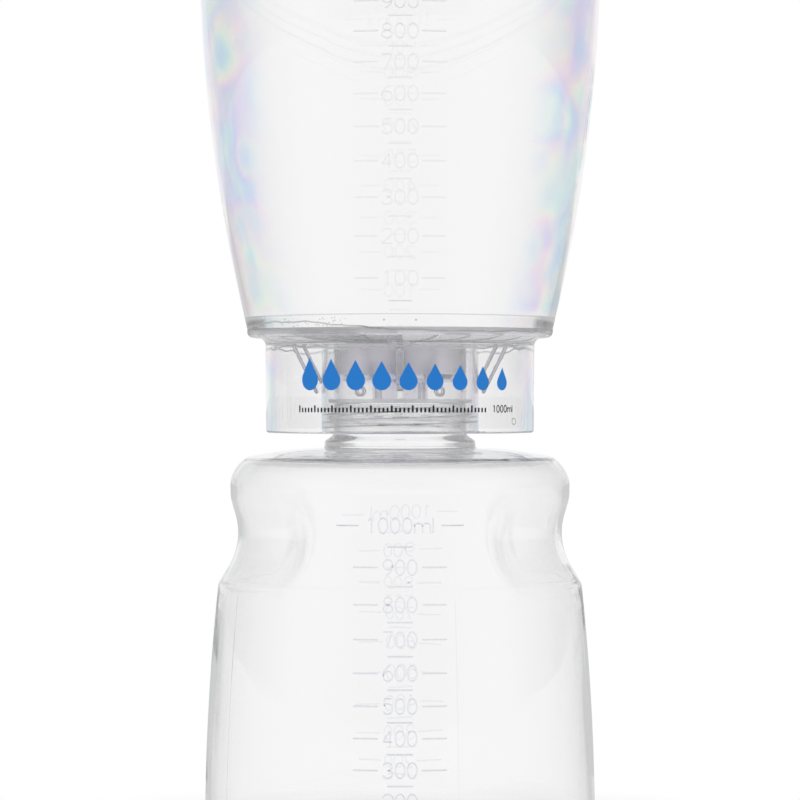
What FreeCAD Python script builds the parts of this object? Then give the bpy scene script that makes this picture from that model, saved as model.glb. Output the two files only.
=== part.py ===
"""Vacuum filtration unit, 1 litre: a clear funnel bonded to a collar that screws onto a clear bottle.

The origin is the centre of the bottle's standing ring, +Z is up the common axis, and the front, with its
scale, faces -Y. The hose tail is at the back, towards +Y. Every size is in millimetres and lives in the
sheet "Sizes". Each piece is drawn in its own frame and stands on the piece below it through its Placement.
"""
import FreeCAD
import Part
import Sketcher
import math
import os

SIZES = [
    # receiver bottle
    ("lip_height", 137.9, "bottle's base to its lip"),
    ("bottle_wall", 1.5, "wall of the bottle"),
    ("base_rise", 2.5, "push-up of the base inside the standing ring"),
    ("stand_inner", 42.0, "inner radius of the standing ring"),
    ("base_corner", 10.0, "radius of the base corner"),
    ("body_radius", 60.3, "largest radius of the bottle"),
    ("body_curve", 740.0, "radius of the side's long curve"),
    ("waist_step_height", 82.7, "height of the step under the grips"),
    ("waist_step_radius", 56.1, "bottle radius at that step"),
    ("waist_step_depth", 0.4, "depth of that step"),
    ("shoulder_low_drop", 27.3, "lip down to the foot of the shoulder"),
    ("shoulder_low_radius", 52.4, "bottle radius at the foot of the shoulder"),
    ("shoulder_round", 10.2, "radius of the rounded shoulder"),
    ("shoulder_top_drop", 16.9, "lip down to the top of the rounded shoulder"),
    ("shoulder_top_radius", 47.0, "radius at the top of the rounded shoulder"),
    ("shoulder_crown", 110.0, "radius of the nearly flat crown"),
    ("grip_floor", 50.1, "distance from the axis to the floor of a finger grip"),
    ("grip_bowl", 20.0, "radius of a grip's hollow"),
    ("grip_height", 97.5, "height of the middle of the grips"),
    ("grip_half_angle", 46.0, "half of the angle that a grip sweeps before its round end, degrees"),
    # threaded neck
    ("neck_bore", 19.0, "radius of the neck's bore"),
    ("neck_wall", 1.6, "wall of the neck under its thread"),
    ("ring_reach", 2.8, "how far the bead ring under the thread stands out from the neck"),
    ("ring_base_drop", 14.3, "lip down to the foot of the bead ring"),
    ("ring_side", 2.2, "height of the bead ring's side"),
    ("ring_flank", 2.0, "height of the slope above the bead ring"),
    ("lip_chamfer", 0.6, "chamfer of the lip"),
    ("thread_pitch", 4.0, "rise of the thread in one turn"),
    ("thread_depth", 1.8, "height of the bottle's thread above the neck"),
    ("thread_base", 2.2, "width of a thread at its root"),
    ("thread_crest", 1.1, "width of a thread at its crest"),
    ("thread_drop", 7.0, "lip down to the start of the bottle's thread"),
    ("neck_turns", 1.3, "turns of the bottle's thread"),
    # neck gasket
    ("gasket_thickness", 1.0, "thickness of the neck gasket"),
    ("gasket_reach", 1.6, "how far the gasket reaches past the neck's outer wall"),
    # filter collar
    ("thread_clearance", 0.4, "radial clearance between the two threads"),
    ("socket_wall", 1.5, "wall of the threaded socket"),
    ("socket_drop", 9.9, "seat down to the socket's mouth"),
    ("socket_turns", 1.25, "turns of the socket's thread"),
    ("seat_to_plate", 16.5, "seat up to the underside of the support plate"),
    ("plate_thickness", 4.8, "thickness of the support plate"),
    ("plate_land", 2.1, "width of the plate's rim outside the membrane's recess"),
    ("plate_corner", 1.8, "round of the plate's lower edge"),
    ("flange_thickness", 2.4, "thickness of the plate's rim outside the skirt"),
    ("flange_overhang", 5.6, "how far the plate's rim stands out past the skirt"),
    ("skirt_wall", 1.8, "wall of the skirt"),
    ("skirt_drop", 10.5, "seat down to the lower edge of the skirt"),
    ("skirt_draft", 0.3, "how much narrower the skirt is at its lower edge"),
    ("skirt_round", 0.8, "round of the skirt's lower outer edge"),
    ("skirt_fillet", 2.4, "fillet between the skirt and the plate's rim"),
    ("drain_hole", 3.0, "radius of the plate's central hole"),
    ("drain_dish", 6.5, "radius of the dish around the central hole"),
    ("channel_width", 1.4, "width of a drain channel"),
    ("channel_depth", 0.6, "depth of a drain channel and of the dish"),
    ("channel_margin", 1.0, "funnel's foot in to the start of the drain channels"),
    ("channel_count", 24, "number of drain channels"),
    ("spigot_radius", 11.6, "outer radius of the outlet spigot"),
    ("spigot_wall", 1.5, "wall of the outlet spigot"),
    ("spigot_lift", 7.7, "seat up to the end of the outlet spigot"),
    ("gusset_web", 1.0, "thickness of a gusset's web"),
    ("gusset_edge", 2.2, "thickness of a gusset's sloping edge"),
    ("gusset_round", 0.55, "round of the long sides of that edge"),
    ("gusset_band", 3.1, "breadth of that edge, measured level"),
    ("gusset_gap", 7.0, "gap between a gusset's top and the skirt"),
    ("gusset_toe", 1.6, "reach of a gusset past the socket at its toe"),
    ("gusset_lift", 2.4, "seat up to a gusset's toe"),
    ("boss_radius", 1.7, "radius of the two round bosses on the socket"),
    ("boss_bore", 0.8, "radius of the dimple in each boss"),
    ("boss_height", 0.9, "height of the bosses above the socket"),
    ("boss_lift", 2.4, "seat up to the bosses"),
    ("boss_angle", 28.8, "angle from the front to each boss, degrees"),
    ("port_lift", 10.6, "seat up to the axis of the vacuum port"),
    ("port_wall", 1.0, "wall of the vacuum port around the hose connector"),
    ("port_bore", 2.5, "radius of the vacuum port's bore"),
    ("port_length", 4.8, "length of the port beyond the skirt"),
    ("tail_socket_radius", 3.5, "radius of the socket for the hose connector"),
    ("tail_socket_depth", 8.0, "depth of that socket"),
    # splash guard
    ("guard_gap", 1.3, "gap around the splash guard's disc, for the air"),
    ("guard_lip", 1.1, "width of the disc's turned-down lip"),
    ("guard_thickness", 1.4, "thickness of the disc"),
    ("guard_lip_drop", 2.2, "drop of the disc's lip"),
    ("guard_plug_length", 4.0, "length of the ring that plugs into the spigot"),
    ("guard_clearance", 0.05, "clearance of that ring in the spigot"),
    ("nozzle_radius", 8.7, "outer radius of the drip nozzle"),
    ("nozzle_wall", 1.2, "wall of the drip nozzle"),
    ("nozzle_drop", 8.4, "disc down to the nozzle's mouth"),
    ("slot_width", 1.6, "width of a nozzle slot"),
    ("slot_margin", 1.0, "wall left above and below a slot"),
    # hose connector, in the vacuum port
    ("tail_bore", 2.0, "radius of the hose tail's bore"),
    ("tail_root", 3.6, "radius of the hose tail between its barbs"),
    ("tail_crest", 4.75, "radius of the first barb's land"),
    ("tail_flange_reach", 1.0, "how far the tail's flange stands out past the port"),
    ("tail_flange", 1.6, "thickness of that flange"),
    ("tail_land_start", 5.0, "flange face to the first barb's land"),
    ("tail_land", 2.0, "length of that land"),
    ("tail_barb", 3.5, "length of one barb"),
    ("tail_barb_step", 0.2, "how much smaller each next barb is"),
    ("tail_tip", 3.1, "radius of the tail's tip"),
    ("plug_length", 9.0, "length of the vent plug"),
    ("plug_clearance", 0.05, "clearance of the vent plug in its bore"),
    # membrane
    ("membrane_radius", 45.0, "radius of the filter membrane"),
    ("membrane_thickness", 0.2, "thickness of the filter membrane"),
    ("membrane_clearance", 0.2, "radial clearance of the membrane in its recess"),
    # funnel
    ("funnel_height", 119.8, "collar plate to the funnel's rim"),
    ("funnel_wall", 1.6, "wall of the funnel"),
    ("funnel_curve", 523.0, "radius of the funnel's long curve"),
    ("funnel_flare", 14.85, "how much wider the funnel is under its rim than at its foot"),
    ("clamp_width", 1.5, "width of the membrane's edge that the foot clamps"),
    ("foot_thickness", 4.1, "thickness of the funnel's foot"),
    ("foot_draft", 0.8, "how far the wall's curve carries it out over the foot's thickness"),
    ("rim_height", 3.0, "height of the rim bead"),
    ("rim_bead", 1.2, "how far the rim bead stands out"),
    ("rim_slope", 0.8, "height of the slope under the rim bead"),
    # lid
    ("lid_thickness", 1.6, "thickness of the lid"),
    ("lid_clearance", 0.3, "clearance of the lid round the rim and in the funnel"),
    ("lid_skirt", 1.3, "wall of the lid's skirt"),
    ("lid_skirt_drop", 6.0, "drop of the lid's skirt"),
    ("lid_plug", 1.6, "wall of the lid's inner ring"),
    ("lid_plug_drop", 4.0, "drop of the lid's inner ring"),
    ("lid_corner", 1.0, "round of the lid's upper edge"),
    ("stack_ring_radius", 54.0, "outer radius of the ring on top of the lid"),
    ("stack_ring_width", 2.0, "width of that ring"),
    ("stack_ring_height", 1.0, "height of that ring"),
]

OVERCUT = 1.0  # how far a cutting shape runs past the face that it opens
SUNK = 0.3  # how far an added rib or thread starts inside the wall that carries it
TOUCH = 0.001  # how near two measures are when they count as the same

doc = FreeCAD.newDocument("FiltrationUnit")
sheet = doc.addObject("Spreadsheet::Sheet", "Sizes")
for row, (alias, size, meaning) in enumerate(SIZES, start=1):
    sheet.set(f"A{row}", meaning)
    sheet.set(f"B{row}", str(size))
    sheet.setAlias(f"B{row}", alias)
doc.recompute()

# Levels and radii that more than one piece uses, as expressions of the sheet's cells.
SEAT = "(Sizes.lip_height + Sizes.gasket_thickness)"
PLATE_UNDER = "Sizes.seat_to_plate"
PLATE_TOP = "(Sizes.seat_to_plate + Sizes.plate_thickness)"
FLANGE_UNDER = f"({PLATE_TOP} - Sizes.flange_thickness)"
FUNNEL_BASE = f"({SEAT} + {PLATE_TOP})"
NECK_RADIUS = "(Sizes.neck_bore + Sizes.neck_wall)"
THREAD_RADIUS = f"({NECK_RADIUS} + Sizes.thread_depth)"
SOCKET_BORE = f"({THREAD_RADIUS} + Sizes.thread_clearance)"
SOCKET_RADIUS = f"({SOCKET_BORE} + Sizes.socket_wall)"
SPIGOT_BORE = "(Sizes.spigot_radius - Sizes.spigot_wall)"
RECESS_RADIUS = "(Sizes.membrane_radius + Sizes.membrane_clearance)"
PLATE_RADIUS = f"({RECESS_RADIUS} + Sizes.plate_land)"
FOOT_BORE = "(Sizes.membrane_radius - Sizes.clamp_width)"
SKIRT_RADIUS = f"({PLATE_RADIUS} - Sizes.flange_overhang)"
SKIRT_BORE = f"({SKIRT_RADIUS} - Sizes.skirt_wall)"
PORT_RADIUS = "(Sizes.tail_socket_radius + Sizes.port_wall)"
PORT_END = f"({SKIRT_RADIUS} + Sizes.port_length)"
FUNNEL_TOP = f"({PLATE_RADIUS} + Sizes.funnel_flare)"
RIM_RADIUS = f"({FUNNEL_TOP} + Sizes.rim_bead)"
FUNNEL_BORE = f"({FUNNEL_TOP} - Sizes.funnel_wall)"


def value(expression):
    """The number that an expression of the sheet's cells has now."""
    return float(sheet.evalExpression(str(expression)))


def new_body(label):
    """An empty PartDesign body whose label names its file."""
    body = doc.addObject("PartDesign::Body", f"Body_{label}")
    body.Label = label
    return body


def stand_at(piece, height):
    """Puts a piece's own origin on the common axis at a height."""
    piece.setExpression("Placement.Base.z", height)


def origin_feature(body, role):
    """One of the body's own origin planes or axes."""
    return next(f for f in body.Origin.OriginFeatures if f.Role == role)


def new_sketch(body, name, role):
    """An empty sketch on one of the body's own origin planes."""
    sketch = body.newObject("Sketcher::SketchObject", name)
    sketch.AttachmentSupport = [(origin_feature(body, role), "")]
    sketch.MapMode = "FlatFace"
    return sketch


def bind(sketch, constraint, expression):
    """Adds a dimension to a sketch and ties it to the sheet."""
    index = sketch.addConstraint(constraint)
    sketch.setExpression(f"Constraints[{index}]", expression)


def arc_between(start, end, radius, turns_left):
    """The shorter arc from start to end that turns left or right on its way, drawn counter-clockwise."""
    chord = end - start
    first, last = (start, end) if turns_left else (end, start)
    to_centre = FreeCAD.Vector(-chord.y, chord.x, 0).normalize() * (1 if turns_left else -1)
    centre = (start + end) * 0.5 + to_centre * math.sqrt(radius**2 - (chord.Length / 2) ** 2)
    first_angle = math.atan2(first.y - centre.y, first.x - centre.x)
    last_angle = math.atan2(last.y - centre.y, last.x - centre.x)
    if last_angle < first_angle:
        last_angle += 2 * math.pi
    return Part.ArcOfCircle(Part.Circle(centre, FreeCAD.Vector(0, 0, 1), radius), first_angle, last_angle)


def outline(body, name, role, corners):
    """A closed sketch of corners (across, up), or (across, up, turn, radius) where an arc leaves one."""
    sketch = new_sketch(body, name, role)
    places = [FreeCAD.Vector(value(corner[0]), value(corner[1]), 0) for corner in corners]
    leaving, arriving = [], []
    for index, corner in enumerate(corners):
        start, end = places[index], places[(index + 1) % len(corners)]
        if len(corner) == 2:
            sketch.addGeometry(Part.LineSegment(start, end))
            leaving.append(1)
        else:
            sketch.addGeometry(arc_between(start, end, value(corner[3]), corner[2] == "left"))
            leaving.append(1 if corner[2] == "left" else 2)
        arriving.append(3 - leaving[-1])
    for index, corner in enumerate(corners):
        before = (index - 1) % len(corners)
        meeting = Sketcher.Constraint("Coincident", before, arriving[before], index, leaving[index])
        sketch.addConstraint(meeting)
        for kind, expression, along in (("DistanceX", corner[0], "x"), ("DistanceY", corner[1], "y")):
            number = getattr(places[index], along)
            bind(sketch, Sketcher.Constraint(kind, -1, 1, index, leaving[index], number), expression)
        if len(corner) > 2:
            bind(sketch, Sketcher.Constraint("Radius", index, value(corner[3])), corner[3])
    return sketch


def revolve(body, name, corners):
    """Turns a half section, drawn as (radius, height), all the way round the body's Z axis."""
    sketch = outline(body, f"{name}_section", "XZ_Plane", corners)
    turned = body.newObject("PartDesign::Revolution", name)
    turned.Profile = sketch
    turned.ReferenceAxis = (sketch, ["V_Axis"])
    turned.Angle = 360
    doc.recompute()
    return turned


def extrude(body, kind, name, sketch, length, reverse=False, symmetric=False):
    """A Pad or a Pocket of a sketch, along or against its plane's normal, or half to each side."""
    feature = body.newObject(f"PartDesign::{kind}", name)
    feature.Profile = sketch
    feature.setExpression("Length", length)
    feature.Reversed = reverse
    feature.SideType = "Symmetric" if symmetric else "One side"
    doc.recompute()
    return feature


def polar(body, name, features, count, angle):
    """Repeats features about the body's Z axis. The angle is from the first to the last, or a full 360."""
    pattern = body.newObject("PartDesign::PolarPattern", name)
    pattern.Originals = features
    pattern.Axis = (origin_feature(body, "Z_Axis"), [""])
    pattern.Angle = angle
    pattern.setExpression("Occurrences", str(count))
    body.Tip = pattern
    doc.recompute()
    return pattern


def thread(body, name, root, crest, start_height, turns):
    """A right-hand helical ridge. A negative root starts it on the far side of the axis, half a turn on."""
    half_base, half_crest = "Sizes.thread_base / 2", "Sizes.thread_crest / 2"
    corners = [
        (root, f"{start_height} - {half_base}"),
        (crest, f"{start_height} - {half_crest}"),
        (crest, f"{start_height} + {half_crest}"),
        (root, f"{start_height} + {half_base}"),
    ]
    sketch = outline(body, f"{name}_section", "XZ_Plane", corners)
    ridge = body.newObject("PartDesign::AdditiveHelix", name)
    ridge.Profile = sketch
    ridge.ReferenceAxis = (sketch, ["V_Axis"])
    ridge.Mode = "pitch-turns-angle"
    ridge.setExpression("Pitch", "Sizes.thread_pitch")
    ridge.setExpression("Turns", turns)
    doc.recompute()
    return ridge


def circle_sketch(body, name, role, across, up, radius):
    """A sketch of one circle."""
    sketch = new_sketch(body, name, role)
    centre = FreeCAD.Vector(value(across), value(up), 0)
    sketch.addGeometry(Part.Circle(centre, FreeCAD.Vector(0, 0, 1), value(radius)))
    bind(sketch, Sketcher.Constraint("DistanceX", -1, 1, 0, 3, centre.x), across)
    bind(sketch, Sketcher.Constraint("DistanceY", -1, 1, 0, 3, centre.y), up)
    bind(sketch, Sketcher.Constraint("Radius", 0, value(radius)), radius)
    return sketch


def add_grip(body, side, sign, inset):
    """Hollows one finger grip: a round groove swept part of the way round, closed by a ball at each end."""
    distance = "(Sizes.grip_floor + Sizes.grip_bowl)"
    radius = f"Sizes.grip_bowl + {inset}"
    across = f"{sign}{distance}"
    groove = body.newObject("PartDesign::Groove", f"Grip_{side}")
    section = circle_sketch(body, f"Grip_{side}_section", "XZ_Plane", across, "Sizes.grip_height", radius)
    groove.Profile = section
    groove.ReferenceAxis = (section, ["V_Axis"])
    groove.Midplane = True
    groove.setExpression("Angle", "2 * Sizes.grip_half_angle")
    doc.recompute()
    for end, turn in (("front", "-"), ("back", "")):
        ball = body.newObject("PartDesign::SubtractiveSphere", f"Grip_{side}_{end}")
        ball.setExpression("Radius", radius)
        ball.setExpression("Placement.Base.x", f"{across} * cos(Sizes.grip_half_angle * 1 deg)")
        ball.setExpression("Placement.Base.y", f"{turn}{distance} * sin(Sizes.grip_half_angle * 1 deg)")
        ball.setExpression("Placement.Base.z", "Sizes.grip_height")
        doc.recompute()


def bottle_form(label, inset, neck):
    """A solid of the bottle's shape, smaller by an inset all round, with a finger grip in each side."""
    body = new_body(label)
    lip = "Sizes.lip_height"
    body_radius = f"Sizes.body_radius - {inset}"
    low_height = f"{lip} - Sizes.shoulder_low_drop"
    top_height = f"{lip} - Sizes.shoulder_top_drop - {inset}"
    step = "Sizes.waist_step_radius"
    corners = [
        ("0", f"Sizes.base_rise + {inset}"),
        ("Sizes.stand_inner - Sizes.base_rise", f"Sizes.base_rise + {inset}"),
        ("Sizes.stand_inner", inset),
        ("Sizes.body_radius - Sizes.base_corner", inset, "left", f"Sizes.base_corner - {inset}"),
        (body_radius, "Sizes.base_corner", "left", f"Sizes.body_curve - {inset}"),
        (f"{step} - {inset}", "Sizes.waist_step_height"),
        (f"{step} - Sizes.waist_step_depth - {inset}", "Sizes.waist_step_height + Sizes.waist_step_depth"),
        (f"Sizes.shoulder_low_radius - {inset}", low_height, "left", f"Sizes.shoulder_round - {inset}"),
        ("Sizes.shoulder_top_radius", top_height, "left", f"Sizes.shoulder_crown - {inset}"),
    ]
    revolve(body, "Form", corners + neck)
    add_grip(body, "right", "", inset)
    add_grip(body, "left", "-", inset)
    return body


def make_bottle():
    """The receiver: its outer form with neck, bead ring and thread, hollowed by the same form inset."""
    lip = "Sizes.lip_height"
    ring_foot = f"{lip} - Sizes.ring_base_drop"
    ring_top = f"{ring_foot} + Sizes.ring_side"
    ring_radius = f"{NECK_RADIUS} + Sizes.ring_reach"
    outer_neck = [
        (ring_radius, ring_foot),
        (ring_radius, ring_top),
        (NECK_RADIUS, f"{ring_top} + Sizes.ring_flank"),
        (NECK_RADIUS, f"{lip} - Sizes.lip_chamfer"),
        (f"{NECK_RADIUS} - Sizes.lip_chamfer", lip),
        ("0", lip),
    ]
    inner_neck = [
        ("Sizes.neck_bore", f"{ring_foot} - Sizes.bottle_wall"),
        ("Sizes.neck_bore", f"{lip} + {OVERCUT}"),
        ("0", f"{lip} + {OVERCUT}"),
    ]
    outside = bottle_form("bottle_outside", "0", outer_neck)
    root = f"{NECK_RADIUS} - {SUNK}"
    thread(outside, "Neck_thread", root, THREAD_RADIUS, f"{lip} - Sizes.thread_drop", "Sizes.neck_turns")
    inside = bottle_form("bottle_inside", "Sizes.bottle_wall", inner_neck)
    bottle = doc.addObject("Part::Cut", "Cut_bottle")
    bottle.Label = "bottle"
    bottle.Base, bottle.Tool = outside, inside
    doc.recompute()
    return bottle


def make_neck_gasket():
    """A flat soft ring on the bottle's lip."""
    body = new_body("neck_gasket")
    outer = f"{NECK_RADIUS} + Sizes.gasket_reach"
    top = "Sizes.gasket_thickness"
    revolve(body, "Ring", [("Sizes.neck_bore", "0"), (outer, "0"), (outer, top), ("Sizes.neck_bore", top)])
    stand_at(body, "Sizes.lip_height")
    return body


def collar_section():
    """Half section of the collar, its own zero at the seat that presses on the gasket."""
    socket_mouth = "-Sizes.socket_drop"
    skirt_edge = "-Sizes.skirt_drop"
    skirt_foot = f"{SKIRT_RADIUS} - Sizes.skirt_draft"
    recess = f"{PLATE_TOP} - Sizes.membrane_thickness"
    dish = f"{recess} - Sizes.channel_depth"
    return [
        ("Sizes.drain_hole", PLATE_UNDER),
        (SPIGOT_BORE, PLATE_UNDER),
        (SPIGOT_BORE, "Sizes.spigot_lift"),
        ("Sizes.spigot_radius", "Sizes.spigot_lift"),
        ("Sizes.spigot_radius", PLATE_UNDER),
        ("Sizes.neck_bore", PLATE_UNDER),
        ("Sizes.neck_bore", "0"),
        (NECK_RADIUS, "0"),
        (NECK_RADIUS, PLATE_UNDER),
        (SOCKET_BORE, PLATE_UNDER),
        (SOCKET_BORE, socket_mouth),
        (SOCKET_RADIUS, socket_mouth),
        (SOCKET_RADIUS, PLATE_UNDER),
        (SKIRT_BORE, PLATE_UNDER),
        (SKIRT_BORE, skirt_edge),
        (f"{skirt_foot} - Sizes.skirt_round", skirt_edge, "left", "Sizes.skirt_round"),
        (skirt_foot, f"{skirt_edge} + Sizes.skirt_round"),
        (SKIRT_RADIUS, f"{FLANGE_UNDER} - Sizes.skirt_fillet", "right", "Sizes.skirt_fillet"),
        (f"{SKIRT_RADIUS} + Sizes.skirt_fillet", FLANGE_UNDER),
        (f"{PLATE_RADIUS} - Sizes.plate_corner", FLANGE_UNDER, "left", "Sizes.plate_corner"),
        (PLATE_RADIUS, f"{FLANGE_UNDER} + Sizes.plate_corner"),
        (PLATE_RADIUS, PLATE_TOP),
        (RECESS_RADIUS, PLATE_TOP),
        (RECESS_RADIUS, recess),
        ("Sizes.drain_dish", recess),
        ("Sizes.drain_dish", dish),
        ("Sizes.drain_hole", dish),
    ]


def add_gussets(collar):
    """Three gussets at the left, the front and the right: a thin web with a thicker sloping edge."""
    root = f"({SOCKET_RADIUS} - {SUNK})"
    toe = f"({SOCKET_RADIUS} + Sizes.gusset_toe)"
    top = f"({SKIRT_BORE} - Sizes.gusset_gap)"
    ceiling = f"{PLATE_UNDER} + {SUNK}"
    rise = f"({ceiling} - Sizes.gusset_lift)"
    inner_toe = f"Sizes.gusset_lift + (Sizes.gusset_band - ({toe} - {root})) * {rise} / ({top} - {toe})"
    web = [(root, "Sizes.gusset_lift"), (toe, "Sizes.gusset_lift"), (top, ceiling), (root, ceiling)]
    edge = [
        (root, "Sizes.gusset_lift"),
        (toe, "Sizes.gusset_lift"),
        (top, ceiling),
        (f"{top} - Sizes.gusset_band", ceiling),
        (root, inner_toe),
    ]
    pads = []
    for name, corners, thickness in (("Web", web, "Sizes.gusset_web"), ("Edge", edge, "Sizes.gusset_edge")):
        mirrored = [(f"-({corner[0]})", corner[1]) for corner in corners]
        sketch = outline(collar, f"{name}_outline", "XZ_Plane", mirrored)
        pads.append(extrude(collar, "Pad", f"Gusset_{name.lower()}", sketch, thickness, symmetric=True))
    polar(collar, "Gussets", pads, 3, 180)
    round_gussets(collar, value(rise) / math.hypot(value(rise), value(top) - value(toe)))


def round_gussets(collar, climb):
    """Rounds the long sides of the gussets' sloping edges, found by their thickness and climb per length."""
    side = value("Sizes.gusset_edge / 2")
    names = []
    for number, edge in enumerate(collar.Shape.Edges, start=1):
        if isinstance(edge.Curve, Part.Line):
            middle = edge.CenterOfMass
            sloping = abs(abs(edge.Curve.Direction.z) - climb) < TOUCH
            if sloping and abs(min(abs(middle.x), abs(middle.y)) - side) < TOUCH:
                names.append(f"Edge{number}")
    gussets = collar.Tip
    rounds = collar.newObject("PartDesign::Fillet", "Gusset_rounds")
    rounds.Base = (gussets, names)
    rounds.setExpression("Radius", "Sizes.gusset_round")
    doc.recompute()


def back_cylinder(body, kind, name, radius, start, end, height):
    """A cylinder along +Y from start to end, as a Pad or a Pocket. The XZ plane's normal points to -Y."""
    sketch = circle_sketch(body, f"{name}_circle", "XZ_Plane", "0", height, radius)
    sketch.setExpression("AttachmentOffset.Base.z", f"-({start})")
    return extrude(body, kind, name, sketch, f"{end} - ({start})", reverse=(kind == "Pad"))


def add_bosses(collar):
    """Two dimpled round bosses on the socket, one each side of the front gusset."""
    face = f"({SOCKET_RADIUS} + Sizes.boss_height)"
    root = f"({SOCKET_RADIUS} - Sizes.socket_wall / 2)"
    steps = [
        ("Pad", "Sizes.boss_radius", root, f"{face} - {root}"),
        ("Pocket", "Sizes.boss_bore", face, "Sizes.boss_height"),
    ]
    upright = FreeCAD.Vector(0, 1, 0)
    for side, angle in (("left", "-Sizes.boss_angle"), ("right", "Sizes.boss_angle")):
        for kind, radius, start, length in steps:
            name = f"Boss_{side}_{kind.lower()}"
            sketch = circle_sketch(collar, f"{name}_circle", "XZ_Plane", "0", "Sizes.boss_lift", radius)
            turned = FreeCAD.Rotation(upright, value(angle))
            sketch.AttachmentOffset = FreeCAD.Placement(FreeCAD.Vector(), turned)
            sketch.setExpression("AttachmentOffset.Rotation.Angle", f"{angle} * 1 deg")
            sketch.setExpression("AttachmentOffset.Base.x", f"{start} * sin({angle} * 1 deg)")
            sketch.setExpression("AttachmentOffset.Base.z", f"{start} * cos({angle} * 1 deg)")
            doc.recompute()
            extrude(collar, kind, name, sketch, length)


def add_port(collar):
    """The vacuum port: a tube from the socket out through the skirt, open through the inner tube."""
    wall_middle = f"{SOCKET_RADIUS} - Sizes.socket_wall / 2"
    height = "Sizes.port_lift"
    back_cylinder(collar, "Pad", "Port", PORT_RADIUS, wall_middle, PORT_END, height)
    inner_start = f"Sizes.neck_bore - {OVERCUT}"
    outer_end = f"{PORT_END} + {OVERCUT}"
    back_cylinder(collar, "Pocket", "Port_bore", "Sizes.port_bore", inner_start, outer_end, height)
    socket, socket_start = "Sizes.tail_socket_radius", f"{PORT_END} - Sizes.tail_socket_depth"
    back_cylinder(collar, "Pocket", "Port_socket", socket, socket_start, outer_end, height)


def add_channels(collar):
    """Radial drain channels in the plate under the membrane, all running to the central dish."""
    half = "Sizes.channel_width / 2"
    inner = f"Sizes.drain_dish - {SUNK}"
    outer = f"({FOOT_BORE} - Sizes.channel_margin)"
    corners = [(inner, f"-{half}"), (outer, f"-{half}"), (outer, half), (inner, half)]
    sketch = outline(collar, "Channel_outline", "XY_Plane", corners)
    sketch.setExpression("AttachmentOffset.Base.z", f"{PLATE_TOP} - Sizes.membrane_thickness")
    doc.recompute()
    channel = extrude(collar, "Pocket", "Channel", sketch, "Sizes.channel_depth")
    polar(collar, "Channels", [channel], "Sizes.channel_count", 360)


def make_collar():
    """The filter head's lower moulding: plate, spigot, seat, threaded socket, skirt, gussets and port."""
    collar = new_body("collar")
    revolve(collar, "Moulding", collar_section())
    add_gussets(collar)
    add_bosses(collar)
    add_port(collar)
    add_channels(collar)
    root = f"-({SOCKET_BORE} + {SUNK})"
    crest = f"-({NECK_RADIUS} + Sizes.thread_clearance)"
    start = "-(Sizes.thread_drop + Sizes.gasket_thickness)"
    thread(collar, "Socket_thread", root, crest, start, "Sizes.socket_turns")
    stand_at(collar, SEAT)
    return collar


def make_splash_guard():
    """A disc with a drip nozzle, plugged into the outlet spigot. Its own zero is the spigot's end."""
    guard = new_body("splash_guard")
    plug = f"{SPIGOT_BORE} - Sizes.guard_clearance"
    plug_bore = f"{plug} - Sizes.spigot_wall"
    bore = "Sizes.nozzle_radius - Sizes.nozzle_wall"
    edge = "Sizes.neck_bore - Sizes.guard_gap"
    lip = f"{edge} - Sizes.guard_lip"
    section = [
        (bore, "-Sizes.nozzle_drop"),
        ("Sizes.nozzle_radius", "-Sizes.nozzle_drop"),
        ("Sizes.nozzle_radius", "-Sizes.guard_thickness"),
        (lip, "-Sizes.guard_thickness"),
        (lip, "-Sizes.guard_lip_drop"),
        (edge, "-Sizes.guard_lip_drop"),
        (edge, "0"),
        (plug, "0"),
        (plug, "Sizes.guard_plug_length"),
        (plug_bore, "Sizes.guard_plug_length"),
        (plug_bore, "0"),
        (bore, "0"),
    ]
    revolve(guard, "Disc", section)
    half = "Sizes.slot_width / 2"
    low, high = "Sizes.slot_margin - Sizes.nozzle_drop", "-Sizes.guard_thickness - Sizes.slot_margin"
    corners = [(f"-{half}", low), (half, low), (half, high), (f"-{half}", high)]
    sketch = outline(guard, "Slot_outline", "XZ_Plane", corners)
    across = f"2 * Sizes.nozzle_radius + {OVERCUT}"
    slots = extrude(guard, "Pocket", "Slot_pair", sketch, across, symmetric=True)
    polar(guard, "Slots", [slots], 3, 120)
    stand_at(guard, f"{SEAT} + Sizes.spigot_lift")
    return guard


def make_hose_connector():
    """A tail with three barbs, turned about its own Z axis and laid along +Y from the port's end."""
    tail = new_body("hose_connector")
    flange = f"{PORT_RADIUS} + Sizes.tail_flange_reach"
    section = [
        ("Sizes.tail_bore", "-Sizes.tail_socket_depth"),
        ("Sizes.tail_socket_radius", "-Sizes.tail_socket_depth"),
        ("Sizes.tail_socket_radius", "0"),
        (flange, "0"),
        (flange, "Sizes.tail_flange"),
        ("Sizes.tail_root", "Sizes.tail_flange"),
        ("Sizes.tail_root", "Sizes.tail_land_start"),
        ("Sizes.tail_crest", "Sizes.tail_land_start"),
        ("Sizes.tail_crest", "Sizes.tail_land_start + Sizes.tail_land"),
    ]
    land_end = "Sizes.tail_land_start + Sizes.tail_land"
    for barb in (1, 2):
        reach = f"{land_end} + {barb} * Sizes.tail_barb"
        crest = f"Sizes.tail_crest - {barb} * Sizes.tail_barb_step"
        section += [("Sizes.tail_root", reach), (crest, reach)]
    tip = f"{land_end} + 3 * Sizes.tail_barb"
    section += [("Sizes.tail_tip", tip), ("Sizes.tail_bore", tip)]
    revolve(tail, "Tail", section)
    lay_along_y(tail, PORT_END)
    return tail


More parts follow.
